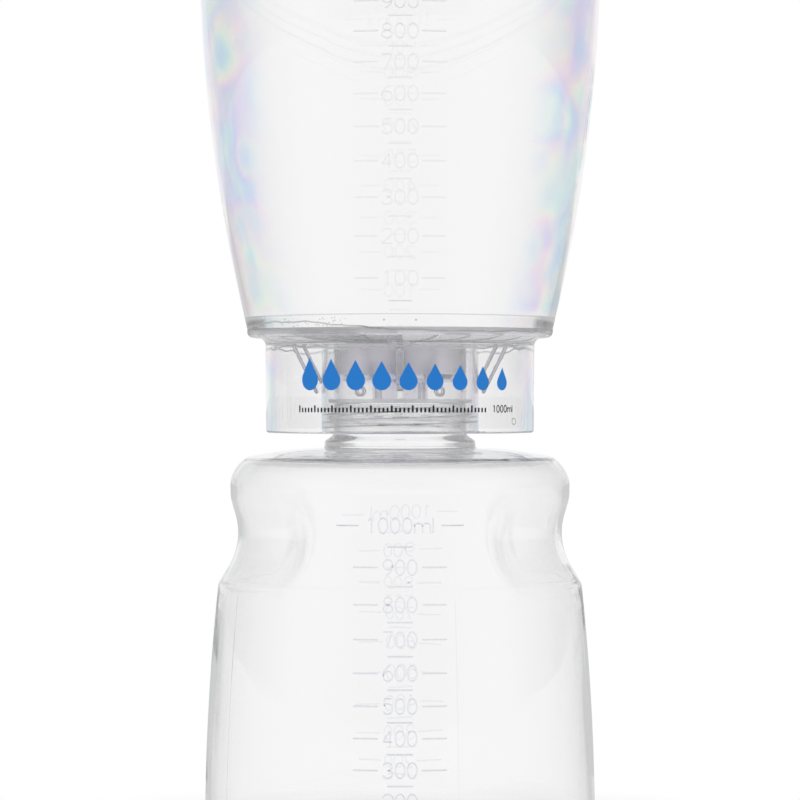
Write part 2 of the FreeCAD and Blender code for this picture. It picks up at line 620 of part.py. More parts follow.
def lay_along_y(piece, start):
    """Turns a piece's own Z axis to +Y and puts its zero on the vacuum port's axis."""
    piece.Placement = FreeCAD.Placement(FreeCAD.Vector(), FreeCAD.Rotation(FreeCAD.Vector(1, 0, 0), -90))
    piece.setExpression("Placement.Base.y", start)
    piece.setExpression("Placement.Base.z", f"{SEAT} + Sizes.port_lift")


def make_vent_plug():
    """A round air filter plug in the port's bore, against the hose connector's inner end."""
    plug = doc.addObject("Part::Cylinder", "Cylinder_vent_plug")
    plug.Label = "vent_plug"
    plug.setExpression("Radius", "Sizes.port_bore - Sizes.plug_clearance")
    plug.setExpression("Height", "Sizes.plug_length")
    lay_along_y(plug, f"{PORT_END} - Sizes.tail_socket_depth - Sizes.plug_length")
    return plug


def make_membrane():
    """The filter disc, flush in the plate's recess."""
    membrane = doc.addObject("Part::Cylinder", "Cylinder_membrane")
    membrane.Label = "membrane"
    membrane.setExpression("Radius", "Sizes.membrane_radius")
    membrane.setExpression("Height", "Sizes.membrane_thickness")
    stand_at(membrane, f"{FUNNEL_BASE} - Sizes.membrane_thickness")
    return membrane


def make_funnel():
    """The upper chamber. Its foot clamps the membrane's edge and is bonded to the plate's rim."""
    funnel = new_body("funnel")
    bead_foot = "Sizes.funnel_height - Sizes.rim_height"
    wall_foot = f"{PLATE_RADIUS} - Sizes.funnel_wall + Sizes.foot_draft"
    section = [
        (FOOT_BORE, "0"),
        (PLATE_RADIUS, "0", "left", "Sizes.funnel_curve"),
        (FUNNEL_TOP, bead_foot),
        (RIM_RADIUS, f"{bead_foot} + Sizes.rim_slope"),
        (RIM_RADIUS, "Sizes.funnel_height"),
        (FUNNEL_BORE, "Sizes.funnel_height", "right", "Sizes.funnel_curve - Sizes.funnel_wall"),
        (wall_foot, "Sizes.foot_thickness"),
        (FOOT_BORE, "Sizes.foot_thickness"),
    ]
    revolve(funnel, "Wall", section)
    stand_at(funnel, FUNNEL_BASE)
    return funnel


def make_lid():
    """A loose cover that rests on the rim, with a skirt outside it and a ring inside it."""
    lid = new_body("lid")
    plug = f"{FUNNEL_BORE} - Sizes.lid_clearance"
    skirt_bore = f"{RIM_RADIUS} + Sizes.lid_clearance"
    skirt = f"{skirt_bore} + Sizes.lid_skirt"
    top = "Sizes.lid_thickness"
    ring_top = f"{top} + Sizes.stack_ring_height"
    ring_bore = "Sizes.stack_ring_radius - Sizes.stack_ring_width"
    section = [
        ("0", "0"),
        (f"{plug} - Sizes.lid_plug", "0"),
        (f"{plug} - Sizes.lid_plug", "-Sizes.lid_plug_drop"),
        (plug, "-Sizes.lid_plug_drop"),
        (plug, "0"),
        (skirt_bore, "0"),
        (skirt_bore, "-Sizes.lid_skirt_drop"),
        (skirt, "-Sizes.lid_skirt_drop"),
        (skirt, f"{top} - Sizes.lid_corner", "left", "Sizes.lid_corner"),
        (f"{skirt} - Sizes.lid_corner", top),
        ("Sizes.stack_ring_radius", top),
        ("Sizes.stack_ring_radius", ring_top),
        (ring_bore, ring_top),
        (ring_bore, top),
        ("0", top),
    ]
    revolve(lid, "Cover", section)
    stand_at(lid, f"{FUNNEL_BASE} + Sizes.funnel_height")
    return lid


pieces = [
    make_bottle(),
    make_neck_gasket(),
    make_collar(),
    make_splash_guard(),
    make_hose_connector(),
    make_vent_plug(),
    make_membrane(),
    make_funnel(),
    make_lid(),
]
doc.recompute()
for thing in doc.Objects:
    if "Invalid" in thing.State or "Error" in thing.State:
        raise RuntimeError(f"{thing.Label} did not compute: {thing.State}")
for piece in pieces:
    if piece.Shape.isNull() or not piece.Shape.isValid() or len(piece.Shape.Solids) != 1:
        raise RuntimeError(f"{piece.Label} is not one valid solid")
os.makedirs("parts", exist_ok=True)
for piece in pieces:
    piece.Shape.exportStep(f"parts/{piece.Label}.step")
    box = piece.Shape.BoundBox
    print(f"{piece.Label}: {piece.Shape.Volume / 1000:.2f} cm3, z {box.ZMin:.1f} to {box.ZMax:.1f}")
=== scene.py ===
import math
import random

import bpy
import numpy as np
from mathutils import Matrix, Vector


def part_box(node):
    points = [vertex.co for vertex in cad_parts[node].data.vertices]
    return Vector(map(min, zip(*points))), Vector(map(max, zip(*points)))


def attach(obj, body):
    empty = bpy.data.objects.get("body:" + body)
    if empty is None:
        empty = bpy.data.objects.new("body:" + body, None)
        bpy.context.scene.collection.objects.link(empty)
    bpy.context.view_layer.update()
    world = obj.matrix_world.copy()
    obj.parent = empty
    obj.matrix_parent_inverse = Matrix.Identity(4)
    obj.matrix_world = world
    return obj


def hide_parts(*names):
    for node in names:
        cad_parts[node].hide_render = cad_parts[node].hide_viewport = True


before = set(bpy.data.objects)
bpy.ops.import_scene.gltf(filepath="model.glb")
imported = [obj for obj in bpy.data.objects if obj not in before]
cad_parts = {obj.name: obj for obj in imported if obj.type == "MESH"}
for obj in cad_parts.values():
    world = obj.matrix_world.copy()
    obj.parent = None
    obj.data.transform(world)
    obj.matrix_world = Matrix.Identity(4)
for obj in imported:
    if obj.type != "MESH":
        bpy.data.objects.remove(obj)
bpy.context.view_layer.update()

# Everything is in metres, in the frame of the CAD. Azimuths are in radians: 0 is +X, and the
# photograph looks at the front, which is -Y. A section is a line of (radius, height) points.

MM = 0.001
TURN = 2 * math.pi
FRONT = -TURN / 4
REAR = TURN / 4

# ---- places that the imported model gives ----

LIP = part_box("bottle")[1].z
BODY_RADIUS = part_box("bottle")[1].y
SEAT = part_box("neck_gasket")[1].z
SKIRT_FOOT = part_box("collar")[0].z
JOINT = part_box("funnel")[0].z
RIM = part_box("funnel")[1].z

# ---- sizes of the bottle's section, as in the CAD ----

WALL = 1.5 * MM
BASE_RISE = 2.5 * MM
STAND_INNER = 42.0 * MM
BASE_CORNER = 10.0 * MM
BODY_CURVE = 740.0 * MM
STEP_HEIGHT = 82.7 * MM
STEP_RADIUS = 56.1 * MM
STEP_DEPTH = 0.4 * MM
SHOULDER_LOW_DROP = 27.3 * MM
SHOULDER_LOW_RADIUS = 52.4 * MM
SHOULDER_ROUND = 10.2 * MM
SHOULDER_TOP_DROP = 16.9 * MM
SHOULDER_TOP_RADIUS = 47.0 * MM
SHOULDER_CROWN = 110.0 * MM
GRIP_FLOOR = 50.1 * MM
GRIP_BOWL = 20.0 * MM
GRIP_HEIGHT = 97.5 * MM
GRIP_HALF_ANGLE = math.radians(46)
NECK_BORE = 19.0 * MM
NECK_RADIUS = 20.6 * MM
RING_RADIUS = 23.4 * MM
RING_FOOT = LIP - 14.3 * MM
RING_TOP = RING_FOOT + 2.2 * MM
RING_FLANK = 2.0 * MM
LIP_CHAMFER = 0.6 * MM
THREAD_PITCH = 4.0 * MM
THREAD_DEPTH = 1.8 * MM
THREAD_ROOT = 1.1 * MM  # half of the thread's width at its root
THREAD_CREST = 0.5 * MM  # half of its width at its crest
THREAD_START = LIP - 7.0 * MM
THREAD_TURNS = 1.3
THREAD_FADE = math.radians(25)  # the thread rises over this angle at each end

# ---- how the bottle is moulded and meshed ----

FINE = 0.1 * MM  # spacing of a section's points before rows are chosen
MOULD_ROUND = 0.45 * MM  # how far moulding softens the section's corners
GRIP_SOFT = 2.5 * MM  # how far the edge of a finger grip is rounded
COLUMNS = 256
MOST_BEND = math.radians(5)  # between one row and the next
ROW_STEP = 4.0 * MM  # the most between two rows
ROW_STEP_GRIP = 1.2 * MM
ROW_STEP_THREAD = 0.25 * MM
ROW_STEP_LEAST = 0.25 * MM
GRIP_ROWS = GRIP_BOWL - 4.0 * MM  # close rows reach this far over and under a grip's middle
WAVES = (  # slow waves in the wall's thickness: size, lobes round, waves up the side, phase
    (0.10 * MM, 2, 1.0, 0.4),
    (0.08 * MM, 3, -1.6, 1.9),
    (0.06 * MM, 5, 2.3, 4.1),
    (0.03 * MM, 9, 3.1, 2.6),
)
WAVES_TOP = LIP - SHOULDER_TOP_DROP - 4.0 * MM
WAVES_FADE = 10.0 * MM

# ---- the funnel's and the collar's outer faces ----

FOOT_RADIUS = 47.3 * MM
UNDER_RIM_RADIUS = 62.15 * MM
UNDER_RIM = RIM - 3.0 * MM
FUNNEL_CURVE = 523.0 * MM
FUNNEL_WALL = 1.6 * MM
FOOT_BORE = 43.5 * MM
FOOT_TOP = JOINT + 4.1 * MM
FOOT_INNER_RADIUS = 46.5 * MM
SKIRT_RADIUS = 41.7 * MM
SKIRT_INNER_RADIUS = 39.9 * MM
SKIRT_DRAFT = 0.3 * MM  # how much narrower its foot is
FLANGE_UNDER = JOINT - 2.4 * MM


# ---- small maths ----


def smooth(share):
    """0 below 0, 1 above 1, and an even rise between."""
    share = np.clip(share, 0, 1)
    return share * share * (3 - 2 * share)


def arc_centre(low, high, bend):
    """Centre of the arc that turns left on its way from low to high."""
    low, high = np.array(low), np.array(high)
    chord = high - low
    length = np.hypot(*chord)
    left = np.array([-chord[1], chord[0]]) / length
    return (low + high) / 2 + left * math.sqrt(bend**2 - (length / 2) ** 2)


def arc_radius(height, low, high, bend):
    """Radius at a height on the arc from low to high, both (radius, height)."""
    across, up = arc_centre(low, high, bend)
    return across + np.sqrt(bend**2 - (height - up) ** 2)


def run(start, end, bend):
    """Fine points from start up to end, straight or on an arc of radius bend that turns left."""
    chord = np.array(end) - start
    length = np.hypot(*chord)
    count = math.ceil(length / FINE)
    share = np.arange(count) / count
    if not bend:
        return np.array(start) + share[:, None] * chord
    centre = arc_centre(start, end, bend)
    first = math.atan2(start[1] - centre[1], start[0] - centre[0])
    angles = first + share * 2 * math.asin(length / 2 / bend)
    return centre + bend * np.column_stack([np.cos(angles), np.sin(angles)])


def section(corners):
    """Fine points through corners of (radius, height, radius of the arc to the next corner or 0)."""
    runs = [run(a[:2], b[:2], a[2]) for a, b in zip(corners, corners[1:])]
    return np.concatenate(runs + [np.array([corners[-1][:2]])])


def distances(points):
    """How far along a line each of its points lies."""
    return np.concatenate([[0], np.cumsum(np.hypot(*np.diff(points, axis=0).T))])


def points_at(points, at):
    """The points of a line that lie at distances along it."""
    return np.column_stack([np.interp(at, distances(points), points[:, k]) for k in range(2)])


def evenly(points, spacing):
    """The same line with its points at an even spacing."""
    length = distances(points)[-1]
    return points_at(points, np.linspace(0, length, int(length / spacing) + 1))


def soften(points, spacing, width):
    """Rounds a section's corners. Both of its ends lie on the axis, where it is mirrored."""
    reach = int(4 * width / spacing)
    bell = np.exp(-0.5 * (np.arange(-reach, reach + 1) * spacing / width) ** 2)
    mirror = np.array([-1, 1])
    longer = np.concatenate(
        [points[reach:0:-1] * mirror, points, points[-2 : -reach - 2 : -1] * mirror]
    )
    return np.column_stack([np.convolve(longer[:, k], bell / bell.sum(), "valid") for k in range(2)])


# ---- meshes ----


def new_object(name, data):
    """A new object in the scene."""
    made = bpy.data.objects.new(name, data)
    bpy.context.scene.collection.objects.link(made)
    return made


class Shape:
    """The vertices and faces of one piece, gathered loft by loft."""

    def __init__(self):
        self.points = []
        self.faces = []

    def loft(self, rings, ends="flat"):
        """Joins rings of points. ends is "flat", "loop" to join the last ring to the first, or two poles.
        Seen from outside, a ring's points and the way from ring to ring turn anticlockwise."""
        count, size = rings.shape[:2]
        base = len(self.points)
        self.points.extend(map(tuple, rings.reshape(-1, 3)))
        ring, side = np.meshgrid(np.arange(count), np.arange(size), indexing="ij")
        nearer, further = ring * size, (ring + 1) % count * size
        following = (side + 1) % size
        quads = np.stack([nearer + side, nearer + following, further + following, further + side], axis=-1)
        if ends != "loop":
            quads = quads[:-1]
        self.faces.extend((quads.reshape(-1, 4) + base).tolist())
        last = base + (count - 1) * size
        if isinstance(ends, str):
            if ends == "flat":
                self.faces.append(list(range(base + size - 1, base - 1, -1)))
                self.faces.append(list(range(last, last + size)))
            return
        low, high = len(self.points), len(self.points) + 1
        self.points.extend(map(tuple, ends))
        for k in range(size):
            after = (k + 1) % size
            self.faces.append([low, base + after, base + k])
            self.faces.append([last + k, last + after, high])

    def make(self, name, material, body):
        """The finished piece, smooth but for sharp edges, riding on a body."""
        mesh = bpy.data.meshes.new(name)
        mesh.from_pydata(self.points, [], self.faces)
        mesh.polygons.foreach_set("use_smooth", [True] * len(mesh.polygons))
        mesh.set_sharp_from_angle(angle=math.radians(50))
        mesh.materials.append(material)
        piece = new_object(name, mesh)
        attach(piece, body)
        return piece


def polar(radius, azimuth, height):
    """Points in space from radii, azimuths and heights."""
    return np.stack(
        np.broadcast_arrays(radius * np.cos(azimuth), radius * np.sin(azimuth), height), axis=-1
    )


# ---- the bottle ----


def bottle_corners(inset):
    """The bottle's side from the middle of its base to its neck, moved in by an inset."""
    rise = BASE_RISE + inset
    return [
        (0, rise, 0),
        (STAND_INNER - BASE_RISE, rise, 0),
        (STAND_INNER, inset, 0),
        (BODY_RADIUS - BASE_CORNER, inset, BASE_CORNER - inset),
        (BODY_RADIUS - inset, BASE_CORNER, BODY_CURVE - inset),
        (STEP_RADIUS - inset, STEP_HEIGHT, 0),
        (STEP_RADIUS - STEP_DEPTH - inset, STEP_HEIGHT + STEP_DEPTH, 0),
        (SHOULDER_LOW_RADIUS - inset, LIP - SHOULDER_LOW_DROP, SHOULDER_ROUND - inset),
        (SHOULDER_TOP_RADIUS, LIP - SHOULDER_TOP_DROP - inset, SHOULDER_CROWN - inset),
    ]


def bottle_section():
    """The whole section: up the outside from the base's middle, over the lip, down the inside."""
    outer_neck = [
        (RING_RADIUS, RING_FOOT, 0),
        (RING_RADIUS, RING_TOP, 0),
        (NECK_RADIUS, RING_TOP + RING_FLANK, 0),
        (NECK_RADIUS, LIP - LIP_CHAMFER, 0),
        (NECK_RADIUS - LIP_CHAMFER, LIP, 0),
    ]
    inner_neck = [(NECK_BORE, RING_FOOT - WALL, 0), (NECK_BORE, LIP, 0)]
    outside = section(bottle_corners(0) + outer_neck)
    inside = section(bottle_corners(WALL) + inner_neck)
    line = evenly(np.concatenate([outside, inside[::-1]]), FINE)
    return soften(line, FINE, MOULD_ROUND)


def widest_step(radius, height):
    """How far apart the bottle's rows may lie."""
    if abs(radius - NECK_RADIUS) < MM and height > RING_TOP:
        return ROW_STEP_THREAD
    if abs(height - GRIP_HEIGHT) < GRIP_ROWS and radius > GRIP_FLOOR - WALL:
        return ROW_STEP_GRIP
    return ROW_STEP


def rows_of(line):
    """The points of a fine section where the mesh has its rows, closer where it turns."""
    heading = np.unwrap(np.arctan2(*np.diff(line, axis=0).T[::-1]))
    kept = [0]
    for k in range(1, len(line) - 1):
        since = (k - kept[-1]) * FINE
        turned = abs(heading[k] - heading[kept[-1]]) > MOST_BEND
        if since > widest_step(*line[k]) or (turned and since > ROW_STEP_LEAST):
            kept.append(k)
    return line[kept + [len(line) - 1]]


def with_grips(radius, azimuth, height, bowl):
    """The radius of the bottle's side with a soft-edged finger grip pressed in at +X and at -X."""
    reach = GRIP_FLOOR + GRIP_BOWL
    off = np.abs((azimuth + TURN / 4) % (TURN / 2) - TURN / 4)
    past = np.maximum(off - GRIP_HALF_ANGLE, 0)
    depth = bowl**2 - (height - GRIP_HEIGHT) ** 2 - (reach * np.sin(past)) ** 2
    hollow = reach * np.cos(past) - np.sqrt(np.maximum(depth, 0))
    near = np.maximum(GRIP_SOFT - np.abs(radius - hollow), 0) / GRIP_SOFT
    pressed = np.minimum(radius, hollow) - near**2 * GRIP_SOFT / 4
    return np.where(depth > 0, pressed, radius)


def thread_height(azimuth, height):
    """How far the thread stands out of the neck."""
    best = 0
    for lap in range(math.ceil(THREAD_TURNS)):
        turned = azimuth + TURN * lap
        ends = smooth(turned / THREAD_FADE) * smooth((THREAD_TURNS * TURN - turned) / THREAD_FADE)
        off = np.abs(height - THREAD_START - THREAD_PITCH * turned / TURN)
        best = np.maximum(best, ends * smooth((THREAD_ROOT - off) / (THREAD_ROOT - THREAD_CREST)))
    return THREAD_DEPTH * best


def wall_waves(azimuth, height):
    """How much thicker or thinner the wall is than WALL, on the bottle's side."""
    rise = (height - BASE_CORNER) / (STEP_HEIGHT - BASE_CORNER) * math.pi
    waves = sum(size * np.cos(lobes * azimuth + up * rise + phase) for size, lobes, up, phase in WAVES)
    foot = smooth((height - BASE_CORNER) / WAVES_FADE)
    head = smooth((WAVES_TOP - height) / WAVES_FADE)
    return waves * foot * head


def bottle_rings():
    """Azimuths, radii and heights of the bottle's mesh, and how many of its rows are outside."""
    rows = rows_of(bottle_section())
    outside = int(np.argmax(rows[:, 1])) + 1
    azimuth = np.arange(COLUMNS) * TURN / COLUMNS
    radius, height = (np.repeat(rows[:, k : k + 1], COLUMNS, axis=1) for k in range(2))
    bowl = np.full(radius.shape, GRIP_BOWL)
    bowl[outside:] += WALL
    side = radius > GRIP_FLOOR - 2 * WALL
    radius = np.where(side, with_grips(radius, azimuth, height, bowl), radius)
    neck = (np.abs(radius - NECK_RADIUS) < MM) & (height > RING_TOP)
    neck[outside:] = False
    radius = radius + neck * thread_height(azimuth, height)
    inner_side = side & (np.arange(len(rows)) >= outside)[:, None]
    radius = radius - inner_side * wall_waves(azimuth, height)
    return azimuth, radius, height, outside


def make_bottle(material):
    """The receiver: one closed wall, softly rounded by moulding, in place of the CAD's."""
    azimuth, radius, height, _ = bottle_rings()
    shape = Shape()
    poles = [(0, 0, height[0, 0]), (0, 0, height[-1, 0])]
    shape.loft(polar(radius, azimuth, height)[1:-1], poles)
    piece = shape.make("bottle_wall", material, "bottle")
    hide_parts("bottle")


# ---- the faces that carry marks, each a function from arrays of azimuths and heights to radii ----


def outer_side():
    """The radii and heights of the bottle's outer side, over its base corner."""
    line = bottle_section()
    line = line[: len(line) // 2]
    return line[(line[:, 1] > BASE_CORNER / 2) & (line[:, 0] > GRIP_FLOOR)].T


SIDE_RADII, SIDE_HEIGHTS = outer_side()


def bottle_side(azimuth, height):
    return with_grips(np.interp(height, SIDE_HEIGHTS, SIDE_RADII), azimuth, height, GRIP_BOWL)


def funnel_side(azimuth, height):
    low, high = (FOOT_RADIUS, JOINT), (UNDER_RIM_RADIUS, UNDER_RIM)
    return arc_radius(np.maximum(height, JOINT), low, high, FUNNEL_CURVE) + 0 * azimuth


def skirt_side(azimuth, height):
    climb = (height - SKIRT_FOOT) / (FLANGE_UNDER - SKIRT_FOOT)
    return SKIRT_RADIUS - SKIRT_DRAFT * (1 - climb) + 0 * azimuth


def upright_face(radius):
    return lambda azimuth, height: radius + 0 * (azimuth + height)


# ---- marks on those faces: ridges and thin printed shapes ----

RIDGE_SUNK = 0.01 * MM  # how far a ridge's foot lies under the face
RIDGE_SIDES = 9
TURN_STEP = 1e-4  # radians, and
CLIMB_STEP = 1e-5  # metres either side of a point, for the face's normal there


def on_face(face, azimuth, height, lift=0):
    return polar(face(azimuth, height) + lift, azimuth, height)


def face_normal(face, azimuth, height):
    """Outward unit normals of a face."""
    across = on_face(face, azimuth + TURN_STEP, height) - on_face(face, azimuth - TURN_STEP, height)
    up = on_face(face, azimuth, height + CLIMB_STEP) - on_face(face, azimuth, height - CLIMB_STEP)
    normal = np.cross(across, up)
    return normal / np.linalg.norm(normal, axis=1, keepdims=True)


def even_line(points, spacing, width, closed):
    """Points along a line at an even spacing, with closer ones at a ridge's round ends."""
    points = np.array(points, float)
    length = distances(points)[-1]
    at = np.linspace(0, length, max(3, math.ceil(length / spacing)) + 1)
    if closed:
        at = at[:-1]
    else:
        tip = np.array([0, 0.04, 0.16, 0.4]) * width
        middle = at[(at > 0.5 * width) & (at < length - 0.5 * width)]
        at = np.concatenate([tip, middle, length - tip[::-1]])
    return points_at(points, at), np.minimum(at, length - at)


def add_ridge(shape, face, centre, points, width, rise, spacing=1.2 * MM, facing=1):
    """A soft ridge along points of (distance round the face from the azimuth centre, height).
    A line whose last point is its first makes a closed ridge. facing is -1 on a face seen from inside."""
    closed = np.allclose(points[0], points[-1])
    line, from_end = even_line(points, spacing, width, closed)
    height = line[:, 1]
    azimuth = centre + line[:, 0] / face(np.full(len(line), centre), height)
    middle = on_face(face, azimuth, height)
    normal = face_normal(face, azimuth, height) * facing
    if closed:
        along = np.roll(middle, -1, axis=0) - np.roll(middle, 1, axis=0)
        swell = np.ones(len(line))
    else:
        along = np.gradient(middle, axis=0)
        swell = np.sqrt(1 - np.maximum(1 - from_end / (width / 2), 0) ** 2)
    side = np.cross(normal, along)
    side /= np.linalg.norm(side, axis=1, keepdims=True)
    across = np.linspace(1, -1, RIDGE_SIDES)[None, :, None]
    up = (1 + np.cos(math.pi * across)) / 2
    out = swell[:, None, None] * (width / 2 * across * side[:, None] + rise * up * normal[:, None])
    foot = middle - RIDGE_SUNK * normal
    rings = foot[:, None] + out
    if closed:
        shape.loft(rings, "loop")
    else:
        shape.loft(rings[1:-1], (foot[0], foot[-1]))


def add_print(shape, face, centre, columns, lift, thickness):
    """A thin shape on a face, from columns of (distance round it, lowest height, highest height)."""
    across, low, high = np.array(columns, float).T
    azimuth = centre + across / face(np.full(len(across), centre), low)
    corners = [(high, lift + thickness), (low, lift + thickness), (low, lift), (high, lift)]
    rings = np.stack([on_face(face, azimuth, height, out) for height, out in corners], axis=1)
    if high[0] - low[0] > 1e-6:
        shape.loft(rings)
    else:
        shape.loft(rings[1:-1], (rings[0].mean(axis=0), rings[-1].mean(axis=0)))


def add_ball(shape, centre, radius):
    """A small ball."""
    tilt = np.radians(np.linspace(-60, 60, 5))[:, None]
    azimuth = np.arange(10) * TURN / 10
    rings = polar(radius * np.cos(tilt), azimuth, radius * np.sin(tilt) + 0 * azimuth) + centre
    up = np.array([0, 0, radius])
    shape.loft(rings, (centre - up, centre + up))


# ---- figures for the scales, drawn as strokes in a box one wide and one high ----


def oval(across, up, half_width, half_height, first=90, last=450):
    """Points on an oval between two angles in degrees."""
    angles = np.radians(np.linspace(first, last, 25))
    return [(across + half_width * math.cos(a), up + half_height * math.sin(a)) for a in angles]


FIGURES = {
    "0": [oval(0.5, 0.5, 0.5, 0.5)],
    "1": [[(0.2, 0.8), (0.55, 1), (0.55, 0)]],
    "2": [oval(0.5, 0.7, 0.5, 0.3, 170, -35) + [(0, 0), (1, 0)]],
    "3": [oval(0.47, 0.75, 0.45, 0.25, 165, -90), oval(0.48, 0.26, 0.52, 0.26, 90, -165)],
    "4": [[(0.72, 0), (0.72, 1), (0, 0.3), (1, 0.3)]],
    "5": [[(0.92, 1), (0.14, 1), (0.08, 0.54)] + oval(0.48, 0.34, 0.52, 0.34, 140, -155)],
    "6": [oval(0.5, 0.32, 0.5, 0.32), oval(0.9, 0.32, 0.9, 0.68, 180, 100)],
    "7": [[(0, 1), (1, 1), (0.36, 0)]],
    "8": [oval(0.5, 0.76, 0.42, 0.24), oval(0.5, 0.26, 0.5, 0.26)],
    "9": [oval(0.5, 0.68, 0.5, 0.32), oval(0.1, 0.68, 0.9, 0.68, 0, -80)],
    "m": [
        [(0, 0), (0, 0.66)],
        oval(0.25, 0.42, 0.25, 0.24, 180, 0) + [(0.5, 0)],
        oval(0.75, 0.42, 0.25, 0.24, 180, 0) + [(1, 0)],
    ],
    "l": [[(0, 0), (0, 1)]],
}
FIGURE_WIDTHS = {"m": 1.7, "l": 0.05}


def write(add, text, across, low, high, figure, gap):
    """Calls add with each stroke of a text centred at across. figure is a digit's width."""
    widths = [FIGURE_WIDTHS.get(letter, 1) * figure for letter in text]
    left = across - (sum(widths) + gap * (len(text) - 1)) / 2
    for letter, width in zip(text, widths):
        for stroke in FIGURES[letter]:
            add([(left + width * x, low + (high - low) * y) for x, y in stroke])
        left += width + gap


# ---- the two scales ----

STROKE = 0.52 * MM  # width of a raised stroke
STROKE_STEP = 0.45 * MM  # spacing of its points along a figure
FILL_BOTTLE = 1.02  # the scale's volume over the volume inside, up to a mark
FILL_FUNNEL = 1.03
MARKS = range(50, 1001, 50)  # millilitres
MILLILITRE = 1e-6  # cubic metres
FIGURE_GAP = 0.8 * MM

BOTTLE_SCALE = {"dash": (6.4 * MM, 13.9 * MM), "short": 3.85 * MM, "figure": 2.75 * MM, "tall": 4.5 * MM}
FUNNEL_SCALE = {"dash": (6.4 * MM, 13.7 * MM), "short": 3.6 * MM, "figure": 3.0 * MM, "tall": 4.3 * MM}
BOTTLE_RISE = {"front": 0.18 * MM, "rear": 0.09 * MM}  # how far the strokes stand out
FUNNEL_RISE = {"front": 0.07 * MM, "rear": 0.02 * MM}
TOP_DASH = (12.2 * MM, 19.2 * MM)  # beside the four figures and the unit
BOTTLE_MARKED = (16.0 * MM, LIP - SHOULDER_TOP_DROP)  # the heights between which there are marks
FUNNEL_MARKED = (FOOT_TOP, UNDER_RIM - 3.0 * MM)


def bottle_fill():
    """Heights inside the bottle and the volume up to each."""
    _, radius, height, outside = bottle_rings()
    radius, height = radius[:outside:-1], height[:outside:-1, 0]
    area = math.pi * (radius**2).mean(axis=1)
    volume = np.cumsum((area[1:] + area[:-1]) / 2 * np.diff(height))
    clear = height[1:] > BASE_CORNER
    return height[1:][clear], volume[clear]


def funnel_fill():
    """Heights inside the funnel and the volume over the membrane up to each."""
    height = np.linspace(JOINT, UNDER_RIM, 1000)
    low = (FOOT_INNER_RADIUS, FOOT_TOP)
    high = (UNDER_RIM_RADIUS - FUNNEL_WALL, UNDER_RIM)
    wall = arc_radius(height, low, high, FUNNEL_CURVE - FUNNEL_WALL)
    radius = np.where(height < FOOT_TOP, FOOT_BORE, wall)
    return height, np.cumsum(math.pi * radius**2) * (height[1] - height[0])


def mark_heights(fill, allowance, lowest, highest):
    """The marks between two heights, each as its millilitres and its height."""
    height, volume = fill
    found = [(mark, np.interp(mark * MILLILITRE / allowance, volume, height)) for mark in MARKS]
    return [(mark, float(up)) for mark, up in found if lowest < up < highest]


def add_scale(shape, face, centre, marks, look, rise):
    """Raised dashes and figures up one side of a vessel."""

    def stroke(points):
        add_ridge(shape, face, centre, points, STROKE, rise, STROKE_STEP)

    def dash(start, end, height):
        add_ridge(shape, face, centre, [(start, height), (end, height)], STROKE, rise)

    for mark, height in marks:
        low, high = height - look["tall"] / 2, height + look["tall"] / 2
        if mark % 100:
            dash(-look["short"], look["short"], height)
            continue
        top = mark == MARKS[-1]
        text = f"{mark}ml" if top else str(mark)
        near, far = TOP_DASH if top else look["dash"]
        dash(-far, -near, height)
        dash(near, far, height)
        write(stroke, text, 0, low, high, look["figure"], FIGURE_GAP)


def make_scales(bottle_looks, funnel_looks):
    """The moulded scales. The looks are the front's and the rear's materials."""
    bottle_marks = mark_heights(bottle_fill(), FILL_BOTTLE, *BOTTLE_MARKED)
    funnel_marks = mark_heights(funnel_fill(), FILL_FUNNEL, *FUNNEL_MARKED)
    for side, centre in (("front", FRONT), ("rear", REAR)):
        shape = Shape()
        add_scale(shape, bottle_side, centre, bottle_marks, BOTTLE_SCALE, BOTTLE_RISE[side])
        shape.make(f"bottle_scale_{side}", bottle_looks[side], "bottle")
        shape = Shape()
        add_scale(shape, funnel_side, centre, funnel_marks, FUNNEL_SCALE, FUNNEL_RISE[side])
        shape.make(f"funnel_scale_{side}", funnel_looks[side], "filter_head")


# ---- traces of moulding and welding ----

PARTING_LINES = (  # up the bottle's side: degrees from the front, width and rise
    (16.6, 0.35 * MM, 0.05 * MM),
    (-60, 0.25 * MM, 0.02 * MM),
)
SEAM_ANGLES = (-81, -70, -54, -35, -20, 0, 24, 50, 74)  # degrees from the front
SEAM_HEIGHTS = (0.2, 0.9, 1.8, 1.6, 0.4, -0.9, -1.3, -1.0, -0.9)  # millimetres over the joint
SEAM_WAVES = ((0.12, 0.31, 0), (0.08, 0.83, 1))  # millimetres, radians for each degree, phase
DOT_ACROSS = 4.7 * MM  # two short marks over the seam, left and right of the front
DOT_LENGTH = 0.8 * MM
DOT_HEIGHT = 2.0 * MM
BUBBLE_COUNT = 90
BUBBLE_ANGLES = (20, 85)  # degrees left of the front
BUBBLE_HEIGHTS = (0.3, 3.2)  # millimetres over the joint
BUBBLE_DEPTHS = (0.5, 2.6)  # millimetres inside the foot's outer face
BUBBLE_RADII = (0.08, 0.22)  # millimetres
FLASH_DROP = 3.4 * MM  # under the flange
FLASH_WAVES = ((0.45, 7, 0), (0.3, 17, 1), (0.15, 31, 2))  # millimetres, waves round, phase
GUSSET_LINES = (  # millimetres along a gusset's sloping edges: radius and height over the seat
    ((25.9, 2.4), (32.9, 16.4)),
    ((24.4, 5.5), (29.8, 16.4)),
)
GUSSET_SIDE = 0.55 * MM  # middle of a gusset out to its rounded edge's axis
GUSSET_BEAD = 0.57 * MM
BOSS_ANGLE = math.radians(28.8)
BOSS_FACE = 25.2 * MM
BOSS_LIFT = 2.4 * MM
BOSS_RING = 1.25 * MM
EJECTOR_ANGLE = math.radians(56.2)
EJECTOR_LIFT = 3.6 * MM
EJECTOR_RING = 1.0 * MM


